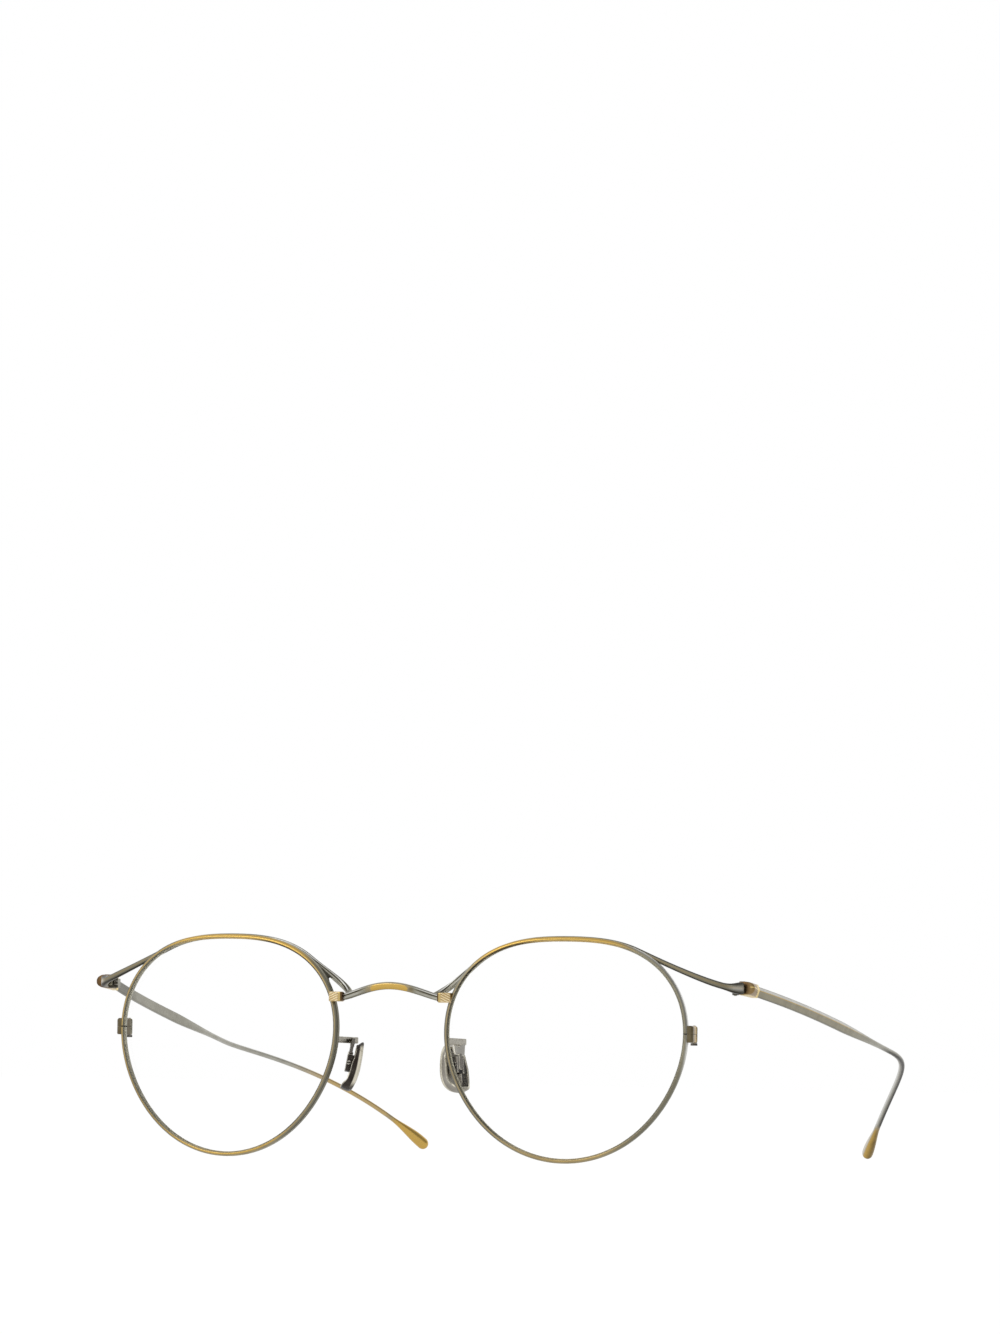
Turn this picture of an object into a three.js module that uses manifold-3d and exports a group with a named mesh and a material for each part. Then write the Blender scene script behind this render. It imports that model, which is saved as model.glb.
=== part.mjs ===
// Round metal eyeglasses with a brow wire: two split rims tied by a low bridge, brow wires that
// carry the hinges, folding temples and rocking nose pads. Millimetres, +Z up. The wearer's left
// is +X, the temples point to +Y, and the rims and the temple tips stand on z = 0.
import * as THREE from "three";
import { mergeVertices } from "three/addons/utils/BufferGeometryUtils.js";
import loadManifold from "manifold-3d";

const wasm = await loadManifold();
wasm.setup();
const { degToRad: deg, lerp, smoothstep } = THREE.MathUtils;

// Lens shape: the mid line of the rim, seen from the front
const LENS_WIDTH = 46.7;
const LENS_HEIGHT = 42.2;
const PANTO = 0.9; // fuller above, narrower below
const CORNER = 0.2; // squarer at the four quarters
const LENS_GAP = 23.3; // between the two rims' mid lines, across the nose
const WRAP = deg(5.5); // each eye turned back on its temple side
const LENS_CURVE = 130; // radius of the lens surface
const LENS_THICKNESS = 1.5;
const LENS_RINGS = [0.35, 0.7]; // rings that draw the curved faces

// Rim: a grooved eyewire, ridged in front and cut through on the temple side
const RIM_WIDTH = 0.9;
const RIM_DEPTH = 1.45;
const RIM_RIDGE = 0.22;
const RIM_FRONT_BEVEL = 0.4;
const RIM_BACK_CHAMFER = 0.15;
const GROOVE_WIDTH = 0.6;
const GROOVE_DEPTH = 0.3;
const SPLIT_ANGLE = deg(6);
const SPLIT_GAP = 0.16;
const RIM_STEPS = 54;
const RIM_SPACE_STEPS = 6;

// Clearances
const FIT = 0.06; // lens in its groove, temple in its collar
const SOLDER = 0.04; // between brazed pieces
const PLAY = 0.1; // between pieces that turn on each other

// Closing block: two lugs on the rim's split, pulled together by a screw
const CLOSER_HEIGHT = 3.2;
const CLOSER_THICKNESS = 1.3;
const CLOSER_OUT = 0.8; // lug's mid plane, outside the rim's mid line
const CLOSER_FRONT = -0.4; // lug's front face, behind the rim's mid line
const CLOSER_BACK = 3.6; // screw axis, behind the rim's mid line
const CLOSER_SCREW = 0.6;
const CLOSER_HEAD = 1.3;
const CLOSER_HEAD_HEIGHT = 0.5;
const CLOSER_TIP = 0.12; // screw's end above the upper lug

// Bridge and its reeded collars
const BRIDGE_ANGLE = deg(158.7); // where the collar meets the rim
const BRIDGE_ARCH = 2.2;
const BRIDGE_FORWARD = 1.1;
const BRIDGE_BACK = -0.2; // bridge ends, behind the lens centre
const BRIDGE_HEIGHT = 1.45;
const BRIDGE_DEPTH = 1.3;
const BRIDGE_END_HEIGHT = 1.3;
const BRIDGE_FULLNESS = 1.2; // above 1, the arch is slimmer
const BRIDGE_STEPS = 24;
const COLLAR_LENGTH = 2.7; // from the rim's mid line to the bridge's end
const COLLAR_HEIGHT = 1.9;
const COLLAR_DEPTH = 1.9;
const COLLAR_BACK = -0.65; // collar's mid plane, behind the lens centre
const COLLAR_REEDS = 4;
const COLLAR_REED_DEPTH = 0.14;

// Brow wire: bridge, over the rim's top, out and back to the hinge
const BROW_WIRE = 1.0;
const BROW_LIFT = 0.14; // above the rim's mid line
const BROW_SEAT = 0.11; // braze between the wire and the rim's back
const BROW_NASAL_ANGLE = deg(137); // where it leaves the rim on the nose side
const BROW_TEMPLE_ANGLE = deg(53); // and on the temple side
const BROW_NASAL_EASE = 3.8;
const BROW_BRIDGE_IN = 1.15; // where it meets the bridge, inside the bridge's end
const BROW_BRIDGE_EASE = new THREE.Vector3(2.2, 4.5, 1.8); // its start there: out, back, up
const BROW_TEMPLE_EASE = 16.7;
const BROW_HINGE_EASE = 3.5;
const BROW_END_SPLAY = deg(14); // its end at the hinge, outwards
const BROW_END_RISE = deg(3);
const BROW_FLARE = 2.3; // height of the flared end
const BROW_FLARE_THICKNESS = 1.6;
const BROW_FLARE_LENGTH = 8.5;
const BROW_NASAL_STEPS = 8;
const BROW_TEMPLE_STEPS = 22;

// Hinge: where the brow wire's end meets the temple
const HINGE_OUT = 8.05; // outside the rim's temple side
const HINGE_BACK = 14.0;
const HINGE_RISE = 11.45; // above the lens centre
const HINGE_SPLAY = deg(8); // temple's start, outwards
const HINGE_SLOPE = deg(5); // temple's start, downwards
const HINGE_GAP = 0.5;
const HINGE_INSET = 1.65; // pin, inside the brow wire's mid line
const HINGE_DROP = 0.7; // knuckles' middle, below the brow wire's mid line
const KNUCKLE = 1.4;
const KNUCKLE_HEIGHT = 0.6;
const HINGE_LEAF = 0.8;
const FRONT_LEAF_LENGTH = 1.6;
const FRONT_LEAF_LOW = 0.5; // its lower edge, below the knuckles' middle
const REAR_LEAF_LENGTH = 4.2;
const REAR_LEAF_HEIGHT = 1.8;
const HINGE_SCREW = 0.75;
const HINGE_HEAD = 1.2;
const HINGE_HEAD_HEIGHT = 0.25;
const HINGE_TIP = 0.15;

// Temple: collar, ridged bar, wire, drop-shaped tip
const SLEEVE_LENGTH = 5.4;
const SLEEVE_HEIGHT = 2.6;
const SLEEVE_THICKNESS = 1.75;
const BAR_HEIGHT = 2.0;
const BAR_THICKNESS = 1.15;
const BAR_RIDGE = 0.22; // ridge line, above the bar's mid line
const BAR_ROOF = 0.5; // ridge line, outside the bar's long edges
const BAR_EDGE = 0.14;
const BAR_SPLAY = deg(10.9);
const BAR_SLOPE = deg(7.9);
const EAR_OUT = 6.8; // start of the ear bend, from the hinge
const EAR_BACK = 76.5;
const EAR_DROP = 11.3;
const EAR_SPLAY = deg(2.3);
const EAR_SLOPE = deg(8.9);
const EAR_EASE = 16.2; // how far the bend keeps that heading
const TAPER_START = 46;
const TAPER_END = 74;
const WIRE_HEIGHT = 0.95; // behind the ear
const WIRE_THICKNESS = 1.3;
const TIP_IN = 16.1; // tip, from the hinge
const TIP_BACK = 137;
const TIP_TURN = deg(30);
const TIP_SLOPE = deg(34.7);
const TIP_EASE = 30.2; // straight run-up to the tip
const TIP_HEIGHT = 2.9;
const TIP_THICKNESS = 2.6;
const TIP_LENGTH = 12;
const TIP_ROUND = 1.5;
const TIP_FULL = 2.2; // where the drop is fullest, before its end
const TIP_TURNS = [deg(35), deg(60), deg(78)]; // rings that round the tip's end
const TIP_STEPS = 6;
const TEMPLE_STEPS = 36;
const TEMPLE_SIDES = 10;
const SETTLING_ROUNDS = 4;

// Nose pads: place, turn and the arm that carries them
const PAD_OUT = 10.05;
const PAD_BACK = 7.4;
const PAD_BELOW = 4.95; // below the lens centre
const PAD_SPLAY = deg(24);
const PAD_FRONTAL = deg(10.5);
const PAD_LEAN = deg(7);
const PAD_HEIGHT = 9.4;
const PAD_WIDTH = 6.3;
const PAD_TAPER = 0.1; // narrower at the top
const PAD_SQUARE = 2.8; // 2 is an oval, more is squarer
const PAD_THICKNESS = 1.5;
const PAD_BORDER = 0.5;
const PAD_RECESS = 1.0;
const PAD_STEPS = 32;
const PAD_SCREW = 0.45;
const PAD_SCREW_HEAD = 1.1;
const PAD_SCREW_HEAD_HEIGHT = 0.3;
const PAD_PIN_RISE = 0.6; // pin above the pad's middle
const BOX_HEIGHT = 3.2;
const BOX_WALL = 0.4;
const LEG_OUT = 1.65; // arm's leg, behind the pad's mid plane
const TONGUE_END = 1.0; // arm's flat tongue, below the pin
const TONGUE_WIDTH = 0.9;
const TONGUE_THICKNESS = 1.0;
const ARM_ANGLE = deg(178.8);
const ARM_HEIGHT = 1.25;
const ARM_THICKNESS = 0.5;
const ARM_REACH = 9.9; // hairpin, behind the rim
const ARM_FALL = 0.1;
const ARM_BEND = 0.9;
const ARM_CHAMFER = 0.12;
const ARM_BEND_STEPS = 8;

const ROUND = 12; // sides of screws and bores
const TINY = 1e-3; // step of a slope, in radians
const UP = new THREE.Vector3(0, 0, 1);
const CENTRE_OUT = (LENS_GAP + LENS_WIDTH) / 2;
const CENTRE_HEIGHT = LENS_HEIGHT / 2 + PANTO + RIM_WIDTH / 2;
const eyeFrame = new THREE.Matrix4()
  .makeRotationZ(WRAP)
  .setPosition(CENTRE_OUT, 0, CENTRE_HEIGHT);

const vec = (x, y, z) => new THREE.Vector3(x, y, z);
const ahead = (point, direction, distance) => point.clone().addScaledVector(direction, distance);

// Evenly spaced values, both ends included.
function spread(from, to, steps) {
  return Array.from({ length: steps + 1 }, (_, i) => lerp(from, to, i / steps));
}

// A heading along +Y, turned outwards and sloped downwards.
function heading(outwards, downwards) {
  const level = Math.cos(downwards);
  return vec(Math.sin(outwards) * level, Math.cos(outwards) * level, -Math.sin(downwards));
}

// Solid makers

function volume(positions, faces) {
  const corner = (i) => vec(...positions.slice(3 * i, 3 * i + 3));
  return faces.reduce((sum, [a, b, c]) => sum + corner(a).dot(corner(b).cross(corner(c))), 0);
}

function capFaces(ring) {
  const normal = vec(0, 0, 0);
  ring.forEach((p, i) => normal.add(p.clone().cross(ring[(i + 1) % ring.length])));
  normal.normalize();
  const side = ring[1].clone().sub(ring[0]).normalize();
  const rise = normal.clone().cross(side);
  const flat = ring.map((p) => new THREE.Vector2(p.dot(side), p.dot(rise)));
  return THREE.ShapeUtils.triangulateShape(flat, []);
}

// A closed skin over rings of points, with flat ends.
function loft(rings) {
  const count = rings[0].length;
  const last = (rings.length - 1) * count;
  const positions = rings.flat().flatMap((p) => p.toArray());
  const faces = [
    ...capFaces(rings[0]).map(([a, b, c]) => [a, c, b]),
    ...capFaces(rings.at(-1)).map((face) => face.map((i) => i + last)),
  ];
  for (let ring = 0; ring < rings.length - 1; ring++) {
    for (let i = 0; i < count; i++) {
      const a = ring * count + i;
      const b = ring * count + ((i + 1) % count);
      faces.push([a, b, b + count], [a, b + count, a + count]);
    }
  }
  const outward = volume(positions, faces) > 0;
  const geometry = new THREE.BufferGeometry();
  geometry.setAttribute("position", new THREE.Float32BufferAttribute(positions, 3));
  geometry.setIndex(faces.flatMap(([a, b, c]) => (outward ? [a, b, c] : [a, c, b])));
  return geometry;
}

// Carries a section along a path. A section point is [to the right of the way, upright], and
// upright starts at the reference and, where carried, turns with the path.
function sweep(path, reference, sectionAt, carried = false) {
  let upright = reference;
  const rings = path.map((point, i) => {
    const before = path[Math.max(i - 1, 0)];
    const after = path[Math.min(i + 1, path.length - 1)];
    const forward = after.clone().sub(before).normalize();
    const right = forward.clone().cross(carried ? upright : reference).normalize();
    upright = right.clone().cross(forward);
    return sectionAt(i).map(([a, b]) => ahead(ahead(point, right, a), upright, b));
  });
  return loft(rings);
}

function solid(geometry) {
  const bare = new THREE.BufferGeometry();
  bare.setAttribute("position", geometry.getAttribute("position"));
  bare.setIndex(geometry.getIndex());
  const merged = mergeVertices(bare);
  const faces = [];
  for (let i = 0; i < merged.index.count; i += 3) {
    const [a, b, c] = [0, 1, 2].map((k) => merged.index.getX(i + k));
    if (a !== b && b !== c && c !== a) faces.push(a, b, c);
  }
  const vertProperties = Float32Array.from(merged.getAttribute("position").array);
  const triVerts = Uint32Array.from(faces);
  return new wasm.Manifold(new wasm.Mesh({ numProp: 3, vertProperties, triVerts }));
}

function skin(body) {
  const mesh = body.getMesh();
  const geometry = new THREE.BufferGeometry();
  geometry.setAttribute("position", new THREE.BufferAttribute(mesh.vertProperties, 3));
  geometry.setIndex(new THREE.BufferAttribute(mesh.triVerts, 1));
  return geometry;
}

const join = (first, ...more) => skin(more.reduce((sum, g) => sum.add(solid(g)), solid(first)));
const cut = (body, ...tools) => skin(tools.reduce((rest, g) => rest.subtract(solid(g)), solid(body)));

// A box between [low, high] limits on each axis.
function block(...limits) {
  const size = limits.map(([low, high]) => high - low);
  const middle = limits.map(([low, high]) => (low + high) / 2);
  return new THREE.BoxGeometry(...size).translate(...middle);
}

// A round bar along z.
function rod(radius, low, high) {
  const bar = new THREE.CylinderGeometry(radius, radius, high - low, ROUND);
  return bar.rotateX(Math.PI / 2).translate(0, 0, (low + high) / 2);
}

// A turned piece about z, from a profile of [radius, height] that starts and ends on the axis.
const turned = (profile) =>
  new THREE.LatheGeometry(profile.map(([r, z]) => new THREE.Vector2(r, z)), ROUND).rotateX(Math.PI / 2);

const extruded = (shape, depth) =>
  new THREE.ExtrudeGeometry(shape, { depth, bevelEnabled: false, curveSegments: ROUND / 2 });

// A screw along z: domed end at the bottom, slim head that sits on `seat`.
function screw(shank, end, seat, head, headHeight) {
  const dome = shank / 4;
  return turned([
    [0, end],
    [shank / 2 - dome, end],
    [shank / 2, end + dome],
    [shank / 2, seat + SOLDER],
    [head / 2, seat + SOLDER],
    [head / 2, seat + SOLDER + headHeight / 2],
    [head / 2 - headHeight / 2, seat + SOLDER + headHeight],
    [0, seat + SOLDER + headHeight],
  ]);
}

// An eight-sided section, `grow` larger all round.
function eightSided(width, height, chamfer, grow = 0) {
  const x = width / 2 + grow;
  const y = height / 2 + grow;
  return [
    [x, -y + chamfer],
    [x, y - chamfer],
    [x - chamfer, y],
    [-x + chamfer, y],
    [-x, y - chamfer],
    [-x, -y + chamfer],
    [-x + chamfer, -y],
    [x - chamfer, -y],
  ];
}

// Rim and lens, in the eye's own frame: x to the temple, y back, z up from the lens centre

function outline(angle) {
  const radius =
    (LENS_WIDTH + LENS_HEIGHT) / 4 +
    CORNER * (1 - Math.cos(4 * angle)) +
    ((LENS_WIDTH - LENS_HEIGHT) / 4) * Math.cos(2 * angle) +
    PANTO * Math.sin(3 * angle);
  return new THREE.Vector2(Math.cos(angle), Math.sin(angle)).multiplyScalar(radius);
}

// A point `out` from the rim's mid line and `back` from its curved plane; a share under 1 draws
// it in towards the lens centre.
function rimPoint(angle, out, back, share = 1) {
  const along = outline(angle + TINY).sub(outline(angle - TINY)).normalize();
  const at = outline(angle).add(new THREE.Vector2(along.y, -along.x).multiplyScalar(out));
  at.multiplyScalar(share);
  return vec(at.x, at.lengthSq() / (2 * LENS_CURVE) + back, at.y);
}

const halfSplit = SPLIT_GAP / LENS_WIDTH;
const rimAngles = spread(SPLIT_ANGLE + halfSplit, SPLIT_ANGLE + 2 * Math.PI - halfSplit, RIM_STEPS);

function rim() {
  const side = RIM_WIDTH / 2;
  const back = RIM_DEPTH / 2;
  const section = [
    [side, back - RIM_BACK_CHAMFER],
    [side, RIM_FRONT_BEVEL - back],
    [RIM_RIDGE / 2, -back],
    [-RIM_RIDGE / 2, -back],
    [-side, RIM_FRONT_BEVEL - back],
    [-side, -GROOVE_WIDTH / 2],
    [GROOVE_DEPTH - side, 0],
    [-side, GROOVE_WIDTH / 2],
    [-side, back - RIM_BACK_CHAMFER],
    [RIM_BACK_CHAMFER - side, back],
    [side - RIM_BACK_CHAMFER, back],
  ];
  return loft(rimAngles.map((angle) => section.map(([out, deep]) => rimPoint(angle, out, deep))));
}

// The space that the rim takes up, a solder gap larger, between two angles.
function rimSpace(from, to) {
  const section = eightSided(RIM_WIDTH, RIM_DEPTH, RIM_BACK_CHAMFER, SOLDER);
  const ring = (angle) => section.map(([out, deep]) => rimPoint(angle, out, deep));
  return loft(spread(from, to, RIM_SPACE_STEPS).map(ring));
}

function lens() {
  const edge = -RIM_WIDTH / 2 - FIT;
  const half = LENS_THICKNESS / 2;
  const profile = [
    ...LENS_RINGS.map((share) => [share, edge, -half]),
    [1, edge, -half],
    [1, edge, -GROOVE_WIDTH / 2],
    [1, edge + GROOVE_DEPTH, 0],
    [1, edge, GROOVE_WIDTH / 2],
    [1, edge, half],
    ...LENS_RINGS.map((share) => [share, edge, half]).reverse(),
  ];
  const ring = ([share, out, back]) => rimAngles.map((angle) => rimPoint(angle, out, back, share));
  return loft(profile.map(ring));
}

// Closing blocks, placed at the rim's split

const splitAt = rimPoint(SPLIT_ANGLE, 0, 0);
const splitReach = CLOSER_HEIGHT / LENS_WIDTH;

function closingBlock(low, high) {
  const left = CLOSER_OUT - CLOSER_THICKNESS / 2;
  const lug = new THREE.Shape()
    .moveTo(left, CLOSER_FRONT)
    .lineTo(left + CLOSER_THICKNESS, CLOSER_FRONT)
    .lineTo(left + CLOSER_THICKNESS, CLOSER_BACK)
    .absarc(CLOSER_OUT, CLOSER_BACK, CLOSER_THICKNESS / 2, 0, Math.PI, false);
  const space = rimSpace(SPLIT_ANGLE - splitReach, SPLIT_ANGLE + splitReach);
  space.translate(-splitAt.x, -splitAt.y, -splitAt.z);
  const bore = rod(CLOSER_SCREW / 2 + FIT, low - 1, high + 1).translate(CLOSER_OUT, CLOSER_BACK, 0);
  return cut(extruded(lug, high - low).translate(0, 0, low), space, bore);
}

const closerTop = CLOSER_HEIGHT / 2;

// The screw goes in from below.
function closingScrew() {
  const end = -closerTop - CLOSER_TIP;
  const whole = screw(CLOSER_SCREW, end, closerTop, CLOSER_HEAD, CLOSER_HEAD_HEIGHT);
  return whole.rotateX(Math.PI).translate(CLOSER_OUT, CLOSER_BACK, 0);
}

// Bridge and collars, in the frame of the whole front

const bridgeRim = rimPoint(BRIDGE_ANGLE, 0, 0).applyMatrix4(eyeFrame);
const bridgeSpan = 2 * (bridgeRim.x - COLLAR_LENGTH);

const bridgeArch = (x) => Math.max(0, Math.cos((Math.PI * x) / bridgeSpan)) ** BRIDGE_FULLNESS;

function bridgePoint(x) {
  const arch = bridgeArch(x);
  return vec(x, BRIDGE_BACK - BRIDGE_FORWARD * arch, bridgeRim.z + BRIDGE_ARCH * arch);
}

function bridge(grow = 0) {
  const stations = spread(bridgeSpan / 2, -bridgeSpan / 2, BRIDGE_STEPS);
  const sectionAt = (i) => {
    const height = lerp(BRIDGE_END_HEIGHT, BRIDGE_HEIGHT, bridgeArch(stations[i]));
    return eightSided(BRIDGE_DEPTH, height, BRIDGE_END_HEIGHT / 4, grow);
  };
  return sweep(stations.map(bridgePoint), UP, sectionAt);
}

function bridgeCollar() {
  const pitch = COLLAR_HEIGHT / COLLAR_REEDS;
  const front = -COLLAR_DEPTH / 2;
  const valley = front + COLLAR_REED_DEPTH;
  const reeds = [];
  for (let i = 0; i < COLLAR_REEDS; i++) {
    const base = i * pitch - COLLAR_HEIGHT / 2;
    reeds.push([valley, base], [front, base + pitch / 4], [front, base + (pitch * 3) / 4]);
  }
  const profile = [
    ...reeds,
    [valley, COLLAR_HEIGHT / 2],
    [COLLAR_DEPTH / 2, COLLAR_HEIGHT / 2],
    [COLLAR_DEPTH / 2, -COLLAR_HEIGHT / 2],
  ];
  const ends = [bridgeSpan / 2 + SOLDER, bridgeRim.x];
  const rings = ends.map((x) => profile.map(([y, z]) => vec(x, COLLAR_BACK + y, bridgeRim.z + z)));
  const reach = (4 * COLLAR_HEIGHT) / LENS_HEIGHT;
  const space = rimSpace(BRIDGE_ANGLE - reach, BRIDGE_ANGLE + reach).applyMatrix4(eyeFrame);
  return cut(loft(rings), space, bridge(SOLDER));
}

// Brow wire

const hingeAt = vec(CENTRE_OUT + LENS_WIDTH / 2 + HINGE_OUT, HINGE_BACK, CENTRE_HEIGHT + HINGE_RISE);
const hingeHeading = heading(HINGE_SPLAY, HINGE_SLOPE);

function browPath() {
  const behind = RIM_DEPTH / 2 + BROW_SEAT + BROW_WIRE / 2;
  const onRim = (angle) => rimPoint(angle, BROW_LIFT, behind).applyMatrix4(eyeFrame);
  const leaving = (angle, turn) => onRim(angle + turn).sub(onRim(angle)).normalize();
  const nasal = onRim(BROW_NASAL_ANGLE);
  const bridgeEnd = bridgePoint(bridgeSpan / 2 - BROW_BRIDGE_IN);
  const inner = new THREE.CubicBezierCurve3(
    bridgeEnd,
    bridgeEnd.clone().add(BROW_BRIDGE_EASE),
    ahead(nasal, leaving(BROW_NASAL_ANGLE, TINY), BROW_NASAL_EASE),
    nasal,
  );
  const temporal = onRim(BROW_TEMPLE_ANGLE);
  const endHeading = heading(BROW_END_SPLAY, -BROW_END_RISE);
  const end = ahead(hingeAt, endHeading, -HINGE_GAP / 2);
  const outer = new THREE.CubicBezierCurve3(
    temporal,
    ahead(temporal, leaving(BROW_TEMPLE_ANGLE, -TINY), BROW_TEMPLE_EASE),
    ahead(end, endHeading, -BROW_HINGE_EASE),
    end,
  );
  const between = rimAngles.filter((angle) => angle > BROW_TEMPLE_ANGLE && angle < BROW_NASAL_ANGLE);
  return [
    ...inner.getPoints(BROW_NASAL_STEPS),
    ...between.reverse().map(onRim),
    ...outer.getSpacedPoints(BROW_TEMPLE_STEPS),
  ];
}

function browSweep(grow) {
  const path = browPath();
  const end = path.at(-1);
  const sectionAt = (i) => {
    const flare = 1 - smoothstep(path[i].distanceTo(end), 0, BROW_FLARE_LENGTH);
    const height = lerp(BROW_WIRE, BROW_FLARE, flare);
    const width = lerp(BROW_WIRE, BROW_FLARE_THICKNESS, flare);
    return eightSided(width, height, BROW_WIRE * (1 - Math.SQRT1_2), grow);
  };
  return sweep(path, UP, sectionAt);
}

const browWire = () => cut(browSweep(0), bridge(SOLDER));

// Hinge, in its own frame: the pin is z, x points outwards and y along the temple

const hingeFrame = new THREE.Matrix4()
  .makeRotationZ(-HINGE_SPLAY)
  .setPosition(
    hingeAt.x - HINGE_INSET * Math.cos(HINGE_SPLAY),
    hingeAt.y + HINGE_INSET * Math.sin(HINGE_SPLAY),
    hingeAt.z - HINGE_DROP,
  );
const intoHinge = hingeFrame.clone().invert();
const middleTop = KNUCKLE_HEIGHT / 2;
const stackTop = middleTop + PLAY + KNUCKLE_HEIGHT;
const hingeBore = () => rod(HINGE_SCREW / 2 + PLAY / 2, -stackTop - 1, stackTop + 1);

function endpiece() {
  const inner = HINGE_INSET - BROW_FLARE_THICKNESS / 2;
  const length = [-FRONT_LEAF_LENGTH, -HINGE_GAP / 2];
  const leaf = block([inner - HINGE_LEAF, inner], length, [-FRONT_LEAF_LOW, stackTop]);
  const upper = rod(KNUCKLE / 2, middleTop + PLAY, stackTop);
  const lower = rod(KNUCKLE / 2, -stackTop, -middleTop - PLAY);
  const slot = rod(KNUCKLE / 2 + PLAY, -middleTop - PLAY, middleTop + PLAY);
  const brow = browSweep(SOLDER).applyMatrix4(intoHinge);
  return cut(join(leaf, upper, lower), slot, hingeBore(), brow);
}

function hingeLeaf() {
  const inner = HINGE_INSET - SLEEVE_THICKNESS / 2 - SOLDER;
  const half = REAR_LEAF_HEIGHT / 2;
  const leaf = block([inner - HINGE_LEAF, inner], [HINGE_GAP / 2, REAR_LEAF_LENGTH], [-half, half]);
  const knuckle = rod(KNUCKLE / 2, -middleTop, middleTop);
  const upper = rod(KNUCKLE / 2 + PLAY, middleTop, stackTop);
  const lower = rod(KNUCKLE / 2 + PLAY, -stackTop, -middleTop);
  return cut(join(leaf, knuckle), upper, lower, hingeBore());
}

function hingeScrew() {
  return screw(HINGE_SCREW, -stackTop - HINGE_TIP, stackTop, HINGE_HEAD, HINGE_HEAD_HEIGHT);
}

// Temple

// The temple's mid line, with its tip `tipHeight` above the table.
function templeLine(tipHeight) {
  const start = ahead(hingeAt, hingeHeading, HINGE_GAP / 2);
  const sleeve = ahead(hingeAt, hingeHeading, SLEEVE_LENGTH);
  const ear = vec(hingeAt.x + EAR_OUT, hingeAt.y + EAR_BACK, hingeAt.z - EAR_DROP);
  const tip = vec(hingeAt.x - TIP_IN, hingeAt.y + TIP_BACK, tipHeight);
  const shaft = sleeve.distanceTo(ear) / 3;
  const earHeading = heading(EAR_SPLAY, EAR_SLOPE);
  const line = new THREE.CurvePath();
  line.add(new THREE.LineCurve3(start, sleeve));
  line.add(
    new THREE.CubicBezierCurve3(
      sleeve,
      ahead(sleeve, heading(BAR_SPLAY, BAR_SLOPE), shaft),
      ahead(ear, earHeading, -shaft),
      ear,
    ),
  );
  line.add(
    new THREE.CubicBezierCurve3(
      ear,
      ahead(ear, earHeading, EAR_EASE),
      ahead(tip, heading(-TIP_TURN, TIP_SLOPE), -TIP_EASE),
      tip,
    ),
  );
  return line;
}

// The bar's section: flat inside, roofed outside with a ridge line.
function barSection(grow = 0) {
  const inside = -BAR_THICKNESS / 2 - grow;
  const outside = BAR_THICKNESS / 2 + grow;
  const top = BAR_HEIGHT / 2 + grow;
  const shoulder = outside - BAR_ROOF;
  return [
    [outside, BAR_RIDGE],
    [(outside + shoulder) / 2, (top + BAR_RIDGE) / 2],
    [shoulder, top],
    [inside + BAR_EDGE, top],
    [inside, top - BAR_EDGE],
    [inside, 0],
    [inside, BAR_EDGE - top],
    [inside + BAR_EDGE, -top],
    [shoulder, -top],
    [(outside + shoulder) / 2, (BAR_RIDGE - top) / 2],
  ];
}

function ovalSection(thickness, height) {
  return Array.from({ length: TEMPLE_SIDES }, (_, i) => {
    const angle = (2 * Math.PI * i) / TEMPLE_SIDES;
    return [(thickness / 2) * Math.cos(angle), (height / 2) * Math.sin(angle)];
  });
}

function templeRings(line) {
  const length = line.getLength();
  const tipStart = length - TIP_LENGTH;
  const barStart = SLEEVE_LENGTH - HINGE_GAP / 2;
  const stations = [
    0,
    ...spread(barStart, tipStart, TEMPLE_STEPS),
    ...spread(tipStart, length - TIP_ROUND, TIP_STEPS).slice(1),
    ...TIP_TURNS.map((turn) => length - TIP_ROUND * (1 - Math.sin(turn))),
  ];
  const path = stations.map((s) => line.getPointAt(s / length));
  const bar = barSection();
  const sectionAt = (i) => {
    const s = stations[i];
    const wired = smoothstep(s, TAPER_START, TAPER_END);
    const swell = smoothstep(s, tipStart, length - TIP_FULL);
    const over = Math.max(0, (s - length + TIP_ROUND) / TIP_ROUND);
    const closing = Math.sqrt(1 - over * over);
    const thickness = lerp(WIRE_THICKNESS, TIP_THICKNESS, swell) * closing;
    const height = lerp(WIRE_HEIGHT, TIP_HEIGHT, swell) * closing;
    const oval = ovalSection(thickness, height);
    return bar.map(([x, z], k) => [
      lerp(x, oval[k][0], wired),
      lerp(z, oval[k][1], wired),
    ]);
  };
  return sweep(path, UP, sectionAt);
}

// The tip's drop is settled so that the temple's lowest point just meets the table.
function temple() {
  let tipHeight = TIP_HEIGHT / 2;
  let geometry;
  for (let round = 0; round < SETTLING_ROUNDS; round++) {
    geometry = templeRings(templeLine(tipHeight));
    geometry.computeBoundingBox();
    tipHeight -= geometry.boundingBox.min.z;
  }
  return geometry;
}

// The gold sleeve that closes over the temple's front end.
function templeCollar() {
  const start = ahead(hingeAt, hingeHeading, HINGE_GAP / 2);
  const end = ahead(hingeAt, hingeHeading, SLEEVE_LENGTH);
  const top = SLEEVE_HEIGHT / 2;
  const side = SLEEVE_THICKNESS / 2;
  const shoulder = side - BAR_ROOF;
  const outer = [
    [side, BAR_RIDGE],
    [shoulder, top],
    [-side, top],
    [-side, -top],
    [shoulder, -top],
  ];
  const bore = [ahead(start, hingeHeading, -1), ahead(end, hingeHeading, 1)];
  return cut(sweep([start, end], UP, () => outer), sweep(bore, UP, () => barSection(FIT)));
}

// Nose pad, in its own frame: x away from the nose, y back along the pad, z up

const padFrame = new THREE.Matrix4()
  .makeRotationFromEuler(new THREE.Euler(-PAD_LEAN, -PAD_FRONTAL, -PAD_SPLAY, "ZYX"))
  .setPosition(PAD_OUT, PAD_BACK, CENTRE_HEIGHT - PAD_BELOW);
const padPoint = (x, y, z) => vec(x, y, z).applyMatrix4(padFrame);
const alongPad = new THREE.Matrix4().makeBasis(vec(0, 1, 0), vec(0, 0, 1), vec(1, 0, 0));

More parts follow.
